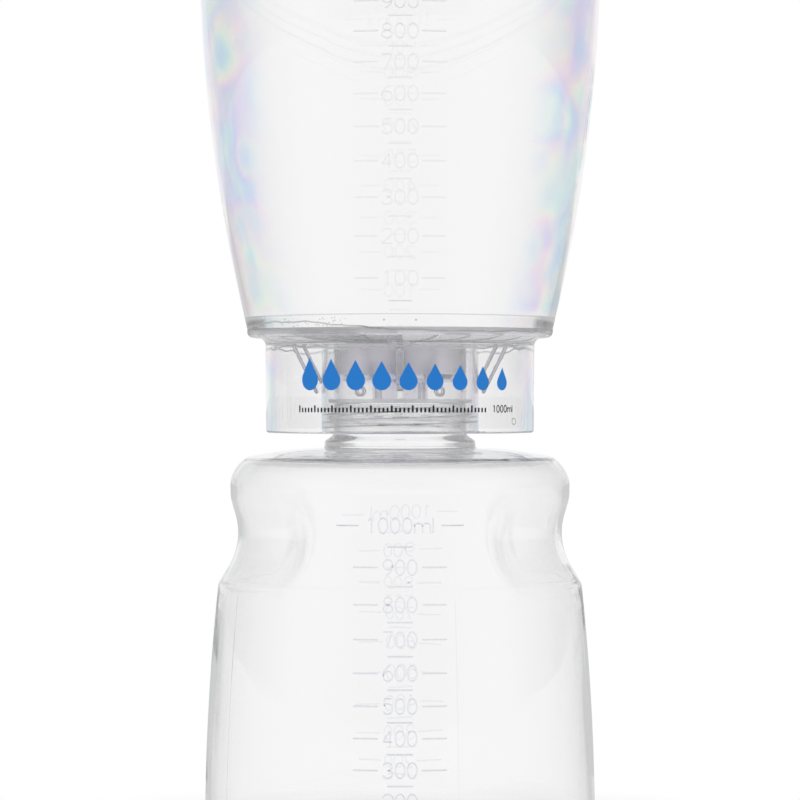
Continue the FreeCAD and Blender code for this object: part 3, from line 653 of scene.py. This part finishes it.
def wander(at, waves):
    """The sum of sine waves of (size, how often, phase)."""
    return sum(size * np.sin(often * at + phase) for size, often, phase in waves)


def make_parting_lines(material):
    """The fine raised lines that the bottle's mould leaves up its sides."""
    shape = Shape()
    line = [(0, BASE_CORNER + 2 * MM), (0, STEP_HEIGHT - 3 * MM)]
    for angle, width, rise in PARTING_LINES:
        add_ridge(shape, bottle_side, FRONT + math.radians(angle), line, width, rise, 2.5 * MM)
    shape.make("bottle_parting_lines", material, "bottle")


def make_seam(material):
    """The uneven line of melted plastic where the funnel is welded to the collar."""
    shape = Shape()
    at = np.linspace(SEAM_ANGLES[0], SEAM_ANGLES[-1], 120)
    rise = np.interp(at, SEAM_ANGLES, SEAM_HEIGHTS) + wander(at, SEAM_WAVES)
    line = np.column_stack([np.radians(at) * FOOT_RADIUS, JOINT + rise * MM])
    add_ridge(shape, funnel_side, FRONT, line, width=0.45 * MM, rise=0.14 * MM, spacing=0.9 * MM)
    for across in (-DOT_ACROSS, DOT_ACROSS):
        mark = [(across + end, JOINT + DOT_HEIGHT) for end in (-DOT_LENGTH / 2, DOT_LENGTH / 2)]
        add_ridge(shape, funnel_side, FRONT, mark, width=0.7 * MM, rise=0.15 * MM)
    shape.make("weld_seam", material, "filter_head")


def make_bubbles(material):
    """Fine air bubbles in the weld, to the left of the front."""
    shape = Shape()
    draw = random.Random(7)
    for _ in range(BUBBLE_COUNT):
        azimuth = FRONT - math.radians(draw.uniform(*BUBBLE_ANGLES))
        height = JOINT + draw.uniform(*BUBBLE_HEIGHTS) * MM
        radius = FOOT_RADIUS - draw.uniform(*BUBBLE_DEPTHS) * MM
        place = polar(radius, azimuth, height)
        add_ball(shape, place, draw.uniform(*BUBBLE_RADII) * MM)
    shape.make("weld_bubbles", material, "filter_head")


def make_flash(material):
    """A wavy line of flash inside the top of the collar's skirt."""
    shape = Shape()
    at = np.linspace(0, TURN, 181)
    height = FLANGE_UNDER - FLASH_DROP + wander(at, FLASH_WAVES) * MM
    line = np.column_stack([at * SKIRT_INNER_RADIUS, height])
    face = upright_face(SKIRT_INNER_RADIUS)
    add_ridge(shape, face, 0, line[:-1].tolist(), 0.5 * MM, 0.25 * MM, spacing=0.8 * MM, facing=-1)
    shape.make("skirt_flash", material, "filter_head")


def add_ring(shape, face, azimuth, height, radius, width, rise, spacing):
    """A small round ridge on a face."""
    ring = oval(0, height, radius, radius)
    add_ridge(shape, face, azimuth, ring, width, rise, spacing)


def add_rod(shape, start, end, radius):
    """A straight rod with round ends."""
    start, end = np.array(start), np.array(end)
    along = (end - start) / np.linalg.norm(end - start)
    side = np.cross(along, (0.3, 0.4, 0.5))
    side /= np.linalg.norm(side)
    turns = (np.arange(10) * TURN / 10)[:, None]
    around = np.cos(turns) * side + np.sin(turns) * np.cross(along, side)
    tilts = np.radians([65, 35, 0])
    outward, onward = (radius * np.cos(tilts), radius * np.sin(tilts))
    foot = [start - on * along + out * around for out, on in zip(outward, onward)]
    head = [end + on * along + out * around for out, on in zip(outward[::-1], onward[::-1])]
    shape.loft(np.array(foot + head), (start - radius * along, end + radius * along))


def make_gusset_beads(material):
    """The rounded long edges of the two side gussets."""
    shape = Shape()
    for azimuth in (FRONT - TURN / 4, FRONT + TURN / 4):
        sideways = polar(GUSSET_SIDE, azimuth + TURN / 4, 0.0)
        for line in GUSSET_LINES:
            ends = [polar(radius * MM, azimuth, SEAT + height * MM) for radius, height in line]
            for side in (-1, 1):
                add_rod(shape, ends[0] + side * sideways, ends[1] + side * sideways, GUSSET_BEAD)
    shape.make("gusset_beads", material, "filter_head")


def make_boss_rings(material):
    """The round lips of the two dimpled bosses on the socket."""
    shape = Shape()
    face = upright_face(BOSS_FACE)
    for azimuth in (FRONT - BOSS_ANGLE, FRONT + BOSS_ANGLE):
        add_ring(shape, face, azimuth, SEAT + BOSS_LIFT, BOSS_RING, 0.8 * MM, 0.3 * MM, 0.3 * MM)
    shape.make("boss_rings", material, "filter_head")


# ---- label films and print on the skirt ----

FILM = 0.06 * MM
FILM_LIFT = -0.02 * MM  # a film's underside is sunk this far in the skirt
INK = 0.02 * MM
INK_LIFT = FILM_LIFT + FILM
# degrees from the film's centre, heights over the skirt's foot, corner radius
FRONT_FILM = (-54.9, 62.6, 1.7 * MM, 24.8 * MM, 2.5 * MM)
REAR_FILM = (-80, 80, 1.4 * MM, 11.6 * MM, 3.0 * MM)
PRINT_MIDDLE = math.radians(3.5) * SKIRT_RADIUS  # distance round the skirt from the front
DROP_COUNT = 9
DROP_PITCH = 8.0 * MM
DROP_LOW = SKIRT_FOOT + 13.0 * MM
DROP_WIDTH = 6.4 * MM
DROP_HEIGHT = 9.8 * MM
DROP_SHRINK = 0.3  # how much smaller the last drop is than the first
RULE_LOW = DROP_LOW - 6.6 * MM
BAR_COUNT = 50
BARS_BEFORE = 29  # left of the print's middle
BAR_PITCH = 1.25 * MM
BAR_HALF_WIDTH = 0.3 * MM
BAR_LONG = 2.1 * MM  # every fifth bar, and the capacity's figures
BAR_SHORT = 1.4 * MM
BAR_CORNER = 0.12 * MM
CAPACITY_ACROSS = 32.6 * MM
CAPACITY_STROKE = 0.36 * MM
CAPACITY_FIGURE = 1.15 * MM
CAPACITY_GAP = 0.5 * MM


def rounded_bar(left, right, low, high, corner):
    """Columns of a bar with round corners."""
    bend = np.linspace(0, math.pi / 2, 8)
    near = corner * (1 - np.cos(bend))
    trim = corner * (1 - np.sin(bend))
    flat = np.linspace(left + corner, right - corner, max(2, int((right - left) / MM)))[1:-1]
    across = np.concatenate([left + near, flat, right - near[::-1]])
    cut = np.concatenate([trim, 0 * flat, trim[::-1]])
    return np.column_stack([across, low + cut, high - cut])


def drop(centre, low, width, height):
    """Columns of a drop: round below, pointed above."""
    radius = width / 2
    lean = math.asin(radius / (height - radius))
    across = radius * np.sin(np.radians(np.linspace(-90, 90, 25)))
    ball = np.sqrt(np.maximum(radius**2 - across**2, 0))
    flank = (height - radius) - np.abs(across) / math.tan(lean)
    top = np.where(np.abs(across) < radius * math.cos(lean), np.maximum(flank, ball), ball)
    return np.column_stack([centre + across, low + radius - ball, low + radius + top])


def make_film(name, centre, film, material):
    """A clear film on the skirt, from two angles, two heights over its foot and a corner radius."""
    first, last, low, high, corner = film
    left, right = (math.radians(angle) * SKIRT_RADIUS for angle in (first, last))
    columns = rounded_bar(left, right, SKIRT_FOOT + low, SKIRT_FOOT + high, corner)
    shape = Shape()
    add_print(shape, skirt_side, centre, columns, FILM_LIFT, FILM)
    shape.make(name, material, "filter_head")


def printed_face(azimuth, height):
    return skirt_side(azimuth, height) + INK_LIFT + INK / 2


def add_capacity(shape):
    """The capacity in fine print, after the rule."""

    def stroke(points):
        add_ridge(shape, printed_face, FRONT, points, CAPACITY_STROKE, INK, 0.3 * MM)

    across = PRINT_MIDDLE + CAPACITY_ACROSS
    write(stroke, "1000ml", across, RULE_LOW, RULE_LOW + BAR_LONG, CAPACITY_FIGURE, CAPACITY_GAP)


def make_print(blue, dark):
    """A generic print where a label would be: drops, a rule of fine bars and the capacity."""
    shape = Shape()
    for k in range(DROP_COUNT):
        size = 1 - DROP_SHRINK * k / (DROP_COUNT - 1)
        across = PRINT_MIDDLE + (k - (DROP_COUNT - 1) / 2) * DROP_PITCH
        columns = drop(across, DROP_LOW, DROP_WIDTH * size, DROP_HEIGHT * size)
        add_print(shape, skirt_side, FRONT, columns, INK_LIFT, INK)
    shape.make("print_drops", blue, "filter_head")
    shape = Shape()
    for k in range(BAR_COUNT):
        across = PRINT_MIDDLE + (k - BARS_BEFORE) * BAR_PITCH
        left, right = across - BAR_HALF_WIDTH, across + BAR_HALF_WIDTH
        high = RULE_LOW + (BAR_SHORT if k % 5 else BAR_LONG)
        columns = rounded_bar(left, right, RULE_LOW, high, BAR_CORNER)
        add_print(shape, skirt_side, FRONT, columns, INK_LIFT, INK)
    add_capacity(shape)
    shape.make("print_rule", dark, "filter_head")


def make_ring_mark(material):
    """The small ring that an ejector pin leaves low on the skirt."""
    shape = Shape()
    azimuth, height = FRONT + EJECTOR_ANGLE, SKIRT_FOOT + EJECTOR_LIFT
    add_ring(shape, skirt_side, azimuth, height, EJECTOR_RING, 0.3 * MM, 0.16 * MM, 0.4 * MM)
    shape.make("ejector_ring", material, "filter_head")


# ---- materials ----

PLASTIC_IOR = 1.59  # polystyrene
GLOSS = 0.012  # roughness of polished plastic
GREY = (0.0, 0.03, 0.06)  # colour and density of the plastic's faint grey
GREY_DENSITY = 0.8
DULL_IOR = 1.45
FILM_IOR = 1.3
FILM_TINT = (0.97, 0.97, 0.975)
THIN_WALL = (0.95, 0.95, 0.955)  # what lamps' light keeps at each face
THIN_FILM = (0.96, 0.96, 0.965)
CLOUDY_WALL = (0.8, 0.8, 0.81)
NECK_FROST = 0.2  # roughness added in frosted places
FOOT_FROST = 0.25
PLATE_FROST = 0.45
WELD_FROST = 0.16
SOCKET_FROST = 0.3
THREAD_FROST = 0.06
WELD_AIR = 0.12 * MM  # depth of the speckles in the weld
MILKY = (0.8, 0.78, 0.84)
FAR = 60 * MM  # past the side of anything frosted
SOCKET_BORE = (18 * MM, 19.3 * MM)  # from the axis, with a margin
SOCKET_THREAD = (20 * MM, 23.5 * MM)
PASTEL_SHEEN = (  # painted sheen: the coloured light that stressed plastic shows at its edges, in their order
    (0.3, (0.58, 0.78, 1.0)),
    (0.38, (0.8, 1.0, 0.9)),
    (0.45, (1.0, 0.95, 0.88)),
    (0.5, (1.0, 0.8, 0.94)),
    (0.56, (0.72, 0.72, 1.0)),
    (0.63, (0.58, 0.78, 1.0)),
    (0.7, (0.8, 1.0, 0.9)),
)
DULL = {  # colour, roughness, grains for each metre, their depth, how far they darken, clearness
    "gasket_silicone": ((0.9, 0.91, 0.92), 0.3, 500, 0.02 * MM, 0.05, 0.85),
    "connector_plastic": ((0.78, 0.8, 0.86), 0.35, 350, 0.02 * MM, 0.05, 0.6),
    "plug_fibre": ((0.9, 0.9, 0.89), 0.9, 2500, 0.08 * MM, 0.3),
    "membrane_white": ((0.93, 0.93, 0.925), 0.7, 3500, 0.01 * MM, 0.06),
    "blue_ink": ((0.005, 0.2, 0.65), 0.45, 1500, 0.004 * MM, 0.12),
    "dark_ink": ((0.012, 0.012, 0.014), 0.5, 1500, 0.004 * MM, 0.2),
}


def node(tree, kind, inputs=None, **settings):
    """Adds a node. An input is given as a value or as the socket that feeds it."""
    made = tree.nodes.new(kind)
    for name, value in settings.items():
        setattr(made, name, value)
    for name, value in (inputs or {}).items():
        if isinstance(value, bpy.types.NodeSocket):
            tree.links.new(value, made.inputs[name])
        else:
            made.inputs[name].default_value = value
    return made


def maths(tree, operation, first, *others):
    """The result of a maths operation on one value, on two, or on more in a row."""
    for other in others or (0.0,):
        first = node(tree, "ShaderNodeMath", {0: first, 1: other}, operation=operation).outputs[0]
    return first


def times(tree, *values):
    return maths(tree, "MULTIPLY", *values)


def remap(tree, value, low, high, first=0.0, last=1.0, **settings):
    """A value's way from low to high, as one from first to last."""
    ends = {0: value, 1: low, 2: high, 3: first, 4: last}
    return node(tree, "ShaderNodeMapRange", ends, **settings).outputs[0]


def mix(tree, share, first, second):
    return node(tree, "ShaderNodeMix", {0: share, 2: first, 3: second}).outputs[0]


def mix_colour(tree, share, first, second):
    return node(tree, "ShaderNodeMix", {0: share, 6: first, 7: second}, data_type="RGBA").outputs[2]


def colour_ramp(tree, value, stops):
    """A smooth run of colours, from stops of (position, colour)."""
    made = node(tree, "ShaderNodeValToRGB", {0: value})
    ramp = made.color_ramp
    ramp.interpolation = "B_SPLINE"
    while len(ramp.elements) < len(stops):
        ramp.elements.new(0.5)
    for element, (position, colour) in zip(ramp.elements, stops):
        element.position = position
        element.color = (*colour, 1)
    return made.outputs[0]


def noise(tree, place, scale, detail=3.0, stretch=(1, 1, 1)):
    """A noise pattern, stretched along the axes, as its value from 0 to 1."""
    moved = node(tree, "ShaderNodeMapping", {"Vector": place, "Scale": stretch}).outputs[0]
    return node(tree, "ShaderNodeTexNoise", {"Vector": moved, "Scale": scale, "Detail": detail}).outputs[0]


def blank(name):
    """A new material's node tree, empty but for its output and the place on the object."""
    material = bpy.data.materials.new(name)
    material.use_nodes = True
    tree = material.node_tree
    tree.nodes.clear()
    place = node(tree, "ShaderNodeTexCoord").outputs["Object"]
    return material, tree, node(tree, "ShaderNodeOutputMaterial"), place


def let_lamps_through(tree, out, surface, tint):
    """Light from lamps goes straight through, a little dimmed, as it does through thin walls."""
    path = node(tree, "ShaderNodeLightPath").outputs
    dull = maths(tree, "MAXIMUM", path["Is Shadow Ray"], path["Is Diffuse Ray"])
    clear = node(tree, "ShaderNodeBsdfTransparent", {"Color": (*tint, 1)})
    mixed = node(tree, "ShaderNodeMixShader", {0: dull, 1: surface, 2: clear.outputs[0]})
    tree.links.new(mixed.outputs[0], out.inputs["Surface"])


def between(tree, value, low, high, soft):
    """1 where a value lies between two others, fading to 0 past them over soft."""
    above = remap(tree, value, low - soft, low)
    below = remap(tree, value, high, high + soft, 1.0, 0.0)
    return times(tree, above, below)


def bumps(tree, height, strength=1.0, distance=1.0):
    inputs = {"Strength": strength, "Distance": distance, "Height": height}
    return node(tree, "ShaderNodeBump", inputs).outputs[0]


def principled(tree, colour, rough, normal, clear, ior):
    names = ("Base Color", "Roughness", "Normal", "Transmission Weight", "IOR")
    inputs = dict(zip(names, (colour, rough, normal, clear, ior)))
    return node(tree, "ShaderNodeBsdfPrincipled", inputs).outputs[0]


def round_place(tree, place):
    """A place's distance from the upright axis, its height and its sideways distance."""
    flat = node(tree, "ShaderNodeVectorMath", {0: place, 1: (1, 1, 0)}, operation="MULTIPLY").outputs[0]
    radius = node(tree, "ShaderNodeVectorMath", {0: flat}, operation="LENGTH").outputs["Value"]
    axes = node(tree, "ShaderNodeSeparateXYZ", {0: place}).outputs
    return radius, axes["Z"], axes["X"]


def left_and_right(tree, across, first):
    """1 further out than first, to the left and to the right."""
    return between(tree, maths(tree, "ABSOLUTE", across), first, FAR, 3 * MM)


def pastel(tree, place, low, high, first):
    """White, with a painted sheen of pale rainbow colours between two heights, from a slant called first
    outward.
    """
    bands = colour_ramp(tree, noise(tree, place, 34, 1.0, (1, 1, 1.3)), PASTEL_SHEEN)
    facing = node(tree, "ShaderNodeLayerWeight").outputs["Facing"]
    edge = remap(tree, facing, first, first + 0.3, interpolation_type="SMOOTHSTEP")
    _, height, _ = round_place(tree, place)
    here = times(tree, edge, between(tree, height, low, high, 3 * MM))
    return mix_colour(tree, here, (1, 1, 1, 1), bands)


def clear_plastic(name, ripple=0.0, stretch=(1, 1, 1), tint=(1, 1, 1), zones=None):
    """Clear polystyrene with the slow ripples of a mould's finish and a faint grey depth. zones gives its
    roughness, what is added to its ripples or None, and its colour."""
    material, tree, out, place = blank(name)
    waves = times(tree, noise(tree, place, 45, 2.0, stretch), ripple)
    rough, grain, colour = zones(tree, place) if zones else (GLOSS, None, (*tint, 1))
    if grain is not None:
        waves = maths(tree, "ADD", waves, grain)
    surface = principled(tree, colour, rough, bumps(tree, waves), 1.0, PLASTIC_IOR)
    depth = node(tree, "ShaderNodeVolumeAbsorption", {"Color": (*GREY, 1), "Density": GREY_DENSITY})
    tree.links.new(depth.outputs[0], out.inputs["Volume"])
    let_lamps_through(tree, out, surface, THIN_WALL)
    return material


def bottle_zones(tree, place):
    """The bottle is a little frosted inside its neck, left and right."""
    radius, height, across = round_place(tree, place)
    bore = between(tree, radius, 10 * MM, NECK_BORE + 0.1 * MM, 0.2 * MM)
    neck = between(tree, height, RING_FOOT - MM, LIP, MM)
    frost = times(tree, bore, left_and_right(tree, across, 14 * MM), neck, NECK_FROST)
    # a painted sheen of pale rainbow colours up to the seat's height
    return maths(tree, "ADD", frost, GLOSS), None, pastel(tree, place, 0.0, SEAT, 0.75)


def funnel_zones(tree, place):
    """The funnel has a painted sheen of pale rainbow colours, and is frosted inside its foot, left and
    right.
    """
    radius, _, across = round_place(tree, place)
    bore = between(tree, radius, 40 * MM, FOOT_BORE + 0.1 * MM, 0.2 * MM)
    frost = times(tree, bore, left_and_right(tree, across, 40 * MM), FOOT_FROST)
    return maths(tree, "ADD", frost, GLOSS), None, pastel(tree, place, JOINT + 7 * MM, RIM, 0.25)


def collar_zones(tree, place):
    """The collar is frosted on top, speckled where the weld took up air, and milky inside its socket."""
    radius, height, across = round_place(tree, place)
    top = between(tree, height, JOINT - 1.7 * MM, JOINT, 0.5 * MM)
    rim = between(tree, radius, FOOT_BORE, FAR, MM)
    weld = times(tree, rim, between(tree, height, FLANGE_UNDER + MM, JOINT, MM))
    left = between(tree, across, -FAR, -20 * MM, 6 * MM)
    inside = between(tree, radius, *SOCKET_BORE, 0.2 * MM)
    bore = times(tree, inside, between(tree, height, SEAT + 8 * MM, FLANGE_UNDER, MM))
    thread = between(tree, radius, *SOCKET_THREAD, MM)
    low = between(tree, height, SKIRT_FOOT, SEAT - 2 * MM, MM)
    frosts = (
        times(tree, top, PLATE_FROST),
        times(tree, weld, WELD_FROST),
        times(tree, bore, SOCKET_FROST),
        times(tree, thread, low, THREAD_FROST),
    )
    rough = maths(tree, "ADD", maths(tree, "MAXIMUM", *frosts), GLOSS)
    grain = times(tree, noise(tree, place, 1500, 1.0), weld, left, WELD_AIR)
    milk = maths(tree, "MAXIMUM", bore, times(tree, top, 0.5))
    # a painted sheen of pale rainbow colours on the skirt
    sheen = pastel(tree, place, SKIRT_FOOT, FLANGE_UNDER - 4 * MM, 0.5)
    return rough, grain, mix_colour(tree, milk, sheen, (*MILKY, 1))


def dull_material(name, colour, roughness, scale, depth, specks, clear=0.0):
    """An opaque or milky material with a fine grain; specks is how far the grain darkens its colour."""
    material, tree, out, place = blank(name)
    grain = noise(tree, place, scale, 4.0)
    darker = [c * (1 - specks) for c in colour]
    shade = mix_colour(tree, grain, (*colour, 1), (*darker, 1))
    rough = remap(tree, grain, 0.0, 1.0, roughness * 0.85, roughness * 1.15)
    surface = principled(tree, shade, rough, bumps(tree, grain, 0.6, depth), clear, DULL_IOR)
    if clear:
        let_lamps_through(tree, out, surface, CLOUDY_WALL)
    else:
        tree.links.new(surface, out.inputs["Surface"])
    return material


def label_film():
    """The label's clear film, finely speckled."""
    material, tree, out, place = blank("label_film")
    specks = noise(tree, place, 1500, 2.0)
    rough = remap(tree, specks, 0.5, 0.7, GLOSS, 0.1)
    surface = principled(tree, (*FILM_TINT, 1), rough, bumps(tree, specks, 0.5, 0.01 * MM), 1.0, FILM_IOR)
    let_lamps_through(tree, out, surface, THIN_FILM)
    return material


# ---- the room: a white studio with soft boxes either side of the camera ----

# how bright the room is in a reflection, from the front (-Y, at -1) to the back (+Y, at 1)
ROOM = ((-1.0, 0.3), (-0.55, 0.8), (0.0, 0.3), (0.55, 0.35), (0.85, 0.8), (1.0, 1.0))
ROOM_UPWARD = 0.5  # how bright the room is steeply up, seen through the plastic
ROOM_OVERHEAD = 0.45  # how much of that is left in a reflection of the ceiling
ROOM_DULL = 0.62  # the room's share of the light on plain surfaces
FLOOR_HALF = 30  # metres
FLOOR_REFLECTED = 0.62
FLOOR_SHADE = 0.5  # how much of the floor near the object is lit by lamps, and so shows its shadow
SHADE_FADES = (0.07, 0.16)  # metres from the axis
LAMPS = (  # name, place, size in metres, power in watts
    ("key", (-0.9, -1.1, 1.5), 0.9, 12),
    ("fill", (1.3, -0.7, 0.9), 0.9, 5),
)
CAMERA_DISTANCE = 0.995  # metres
CAMERA_HEIGHT = LIP + 0.6 * MM
CAMERA_LENS = 144.45  # millimetres, as is the sensor's width
SENSOR = 36.0


def make_room():
    """Plain white where it is seen directly, and dimmer where it is seen by reflection."""
    world = bpy.data.worlds.new("studio")
    bpy.context.scene.world = world
    world.use_nodes = True
    world.cycles.sampling_method = "NONE"
    tree = world.node_tree
    tree.nodes.clear()
    path = node(tree, "ShaderNodeLightPath").outputs
    direction = node(tree, "ShaderNodeTexCoord").outputs["Generated"]
    axes = node(tree, "ShaderNodeSeparateXYZ", {0: direction}).outputs
    stops = [((place + 1) / 2, (bright, bright, bright)) for place, bright in ROOM]
    around = colour_ramp(tree, remap(tree, axes["Y"], -1.0, 1.0), stops)
    upward = remap(tree, maths(tree, "ABSOLUTE", axes["Z"]), 0.35, 0.85, 1.0, ROOM_UPWARD)
    overhead = remap(tree, axes["Z"], 0.3, 0.8, 1.0, ROOM_OVERHEAD)
    through = mix(tree, path["Is Camera Ray"], upward, 1.0)
    back = times(tree, around, overhead)
    reflected = maths(tree, "GREATER_THAN", path["Glossy Depth"], 0.5)
    seen = mix(tree, reflected, through, back)
    strength = mix(tree, path["Is Diffuse Ray"], seen, ROOM_DULL)
    light = node(tree, "ShaderNodeBackground", {"Color": (1, 1, 1, 1), "Strength": strength})
    out = node(tree, "ShaderNodeOutputWorld")
    tree.links.new(light.outputs[0], out.inputs["Surface"])


def floor_material():
    """White, but for a disc under the object, where plain floor is lit by the lamps."""
    material, tree, out, place = blank("pale_floor")
    path = node(tree, "ShaderNodeLightPath").outputs
    shade = remap(tree, noise(tree, place, 300), 0.0, 1.0, 0.84, 0.88)
    plain = node(tree, "ShaderNodeBsdfDiffuse", {"Color": shade})
    distance = node(tree, "ShaderNodeVectorMath", {0: place}, operation="LENGTH").outputs["Value"]
    near = remap(tree, distance, *SHADE_FADES, FLOOR_SHADE, 0.0)
    lit = maths(tree, "MAXIMUM", near, path["Is Diffuse Ray"])
    reflected = maths(tree, "GREATER_THAN", path["Glossy Depth"], 0.5)
    glow = mix(tree, reflected, 1.0, FLOOR_REFLECTED)
    white = node(tree, "ShaderNodeEmission", {"Color": (1, 1, 1, 1), "Strength": glow})
    mixed = node(tree, "ShaderNodeMixShader", {0: lit, 1: white.outputs[0], 2: plain.outputs[0]})
    tree.links.new(mixed.outputs[0], out.inputs["Surface"])
    return material


def make_floor():
    """A pale floor that runs into the white room and keeps the object's shadow."""
    mesh = bpy.data.meshes.new("floor")
    corners = [(x * FLOOR_HALF, y * FLOOR_HALF, 0) for x, y in ((-1, -1), (1, -1), (1, 1), (-1, 1))]
    mesh.from_pydata(corners, [], [(0, 1, 2, 3)])
    mesh.materials.append(floor_material())
    floor = new_object("floor", mesh)
    floor.location.z = -0.05 * MM


def make_lamp(name, place, size, power):
    """A large soft lamp that looks at the object and isn't seen in it."""
    light = bpy.data.lights.new(name, "AREA")
    light.size = size
    light.energy = power
    lamp = new_object(name, light)
    lamp.location = place
    aim = Vector((0, 0, LIP)) - lamp.location
    lamp.rotation_euler = aim.to_track_quat("-Z", "Y").to_euler()
    lamp.visible_glossy = False
    lamp.visible_transmission = False
    lamp.visible_camera = False


def make_camera():
    """The photograph's view: level, from the front, at the height of the bottle's lip."""
    camera = bpy.data.cameras.new("camera")
    camera.lens = CAMERA_LENS
    camera.sensor_width = SENSOR
    eye = new_object("camera", camera)
    eye.location = (0, -CAMERA_DISTANCE, CAMERA_HEIGHT)
    eye.rotation_euler = (math.pi / 2, 0, 0)
    bpy.context.scene.camera = eye


def finish_cad_nodes(looks):
    """Gives each carried-over CAD node its material."""
    for name, material in looks.items():
        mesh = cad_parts[name].data
        mesh.materials.clear()
        mesh.materials.append(material)


make_camera()
make_room()
make_floor()
for lamp in LAMPS:
    make_lamp(*lamp)

bottle_glass = clear_plastic("clear_bottle", 0.25 * MM, (1, 1, 0.25), zones=bottle_zones)
funnel_glass = clear_plastic("clear_funnel", 0.2 * MM, (1, 1, 0.15), zones=funnel_zones)
collar_glass = clear_plastic("clear_collar", 0.05 * MM, zones=collar_zones)
guard_glass = clear_plastic("clear_guard", 0.05 * MM, tint=(0.93, 0.92, 0.95))
lid_glass = clear_plastic("clear_lid", 0.1 * MM)
# painted shade: this grey tint darkens the clear weld seam, flash, gusset beads, boss rings and ejector
# ring
shaded_edge_glass = clear_plastic("moulded_edges_painted_shade", tint=(0.8, 0.8, 0.82))
# painted shade: these two grey-blue tints darken the clear raised strokes of the scales, the fainter one
# at the rear and on the funnel's front
shaded_mark_glass = clear_plastic("raised_marks_painted_shade", tint=(0.92, 0.925, 0.975))
faintly_shaded_mark_glass = clear_plastic("faint_marks_painted_shade", tint=(0.965, 0.97, 0.985))
clear_film = label_film()
dull = {name: dull_material(name, *look) for name, look in DULL.items()}

finish_cad_nodes(
    {
        "neck_gasket": dull["gasket_silicone"],
        "collar": collar_glass,
        "splash_guard": guard_glass,
        "hose_connector": dull["connector_plastic"],
        "vent_plug": dull["plug_fibre"],
        "membrane": dull["membrane_white"],
        "funnel": funnel_glass,
        "lid": lid_glass,
    }
)
make_bottle(bottle_glass)
make_scales({"front": shaded_mark_glass, "rear": faintly_shaded_mark_glass}, {"front": faintly_shaded_mark_glass, "rear": funnel_glass})
make_parting_lines(bottle_glass)
make_seam(shaded_edge_glass)
make_bubbles(funnel_glass)
make_flash(shaded_edge_glass)
make_gusset_beads(shaded_edge_glass)
make_boss_rings(shaded_edge_glass)
make_film("label_film_front", FRONT, FRONT_FILM, clear_film)
make_film("label_film_rear", REAR, REAR_FILM, clear_film)
make_print(dull["blue_ink"], dull["dark_ink"])
make_ring_mark(shaded_edge_glass)

scene = bpy.context.scene
scene.view_settings.view_transform = "Standard"
scene.cycles.max_bounces = 128
scene.cycles.transmission_bounces = 128
scene.cycles.glossy_bounces = 128
scene.cycles.transparent_max_bounces = 64
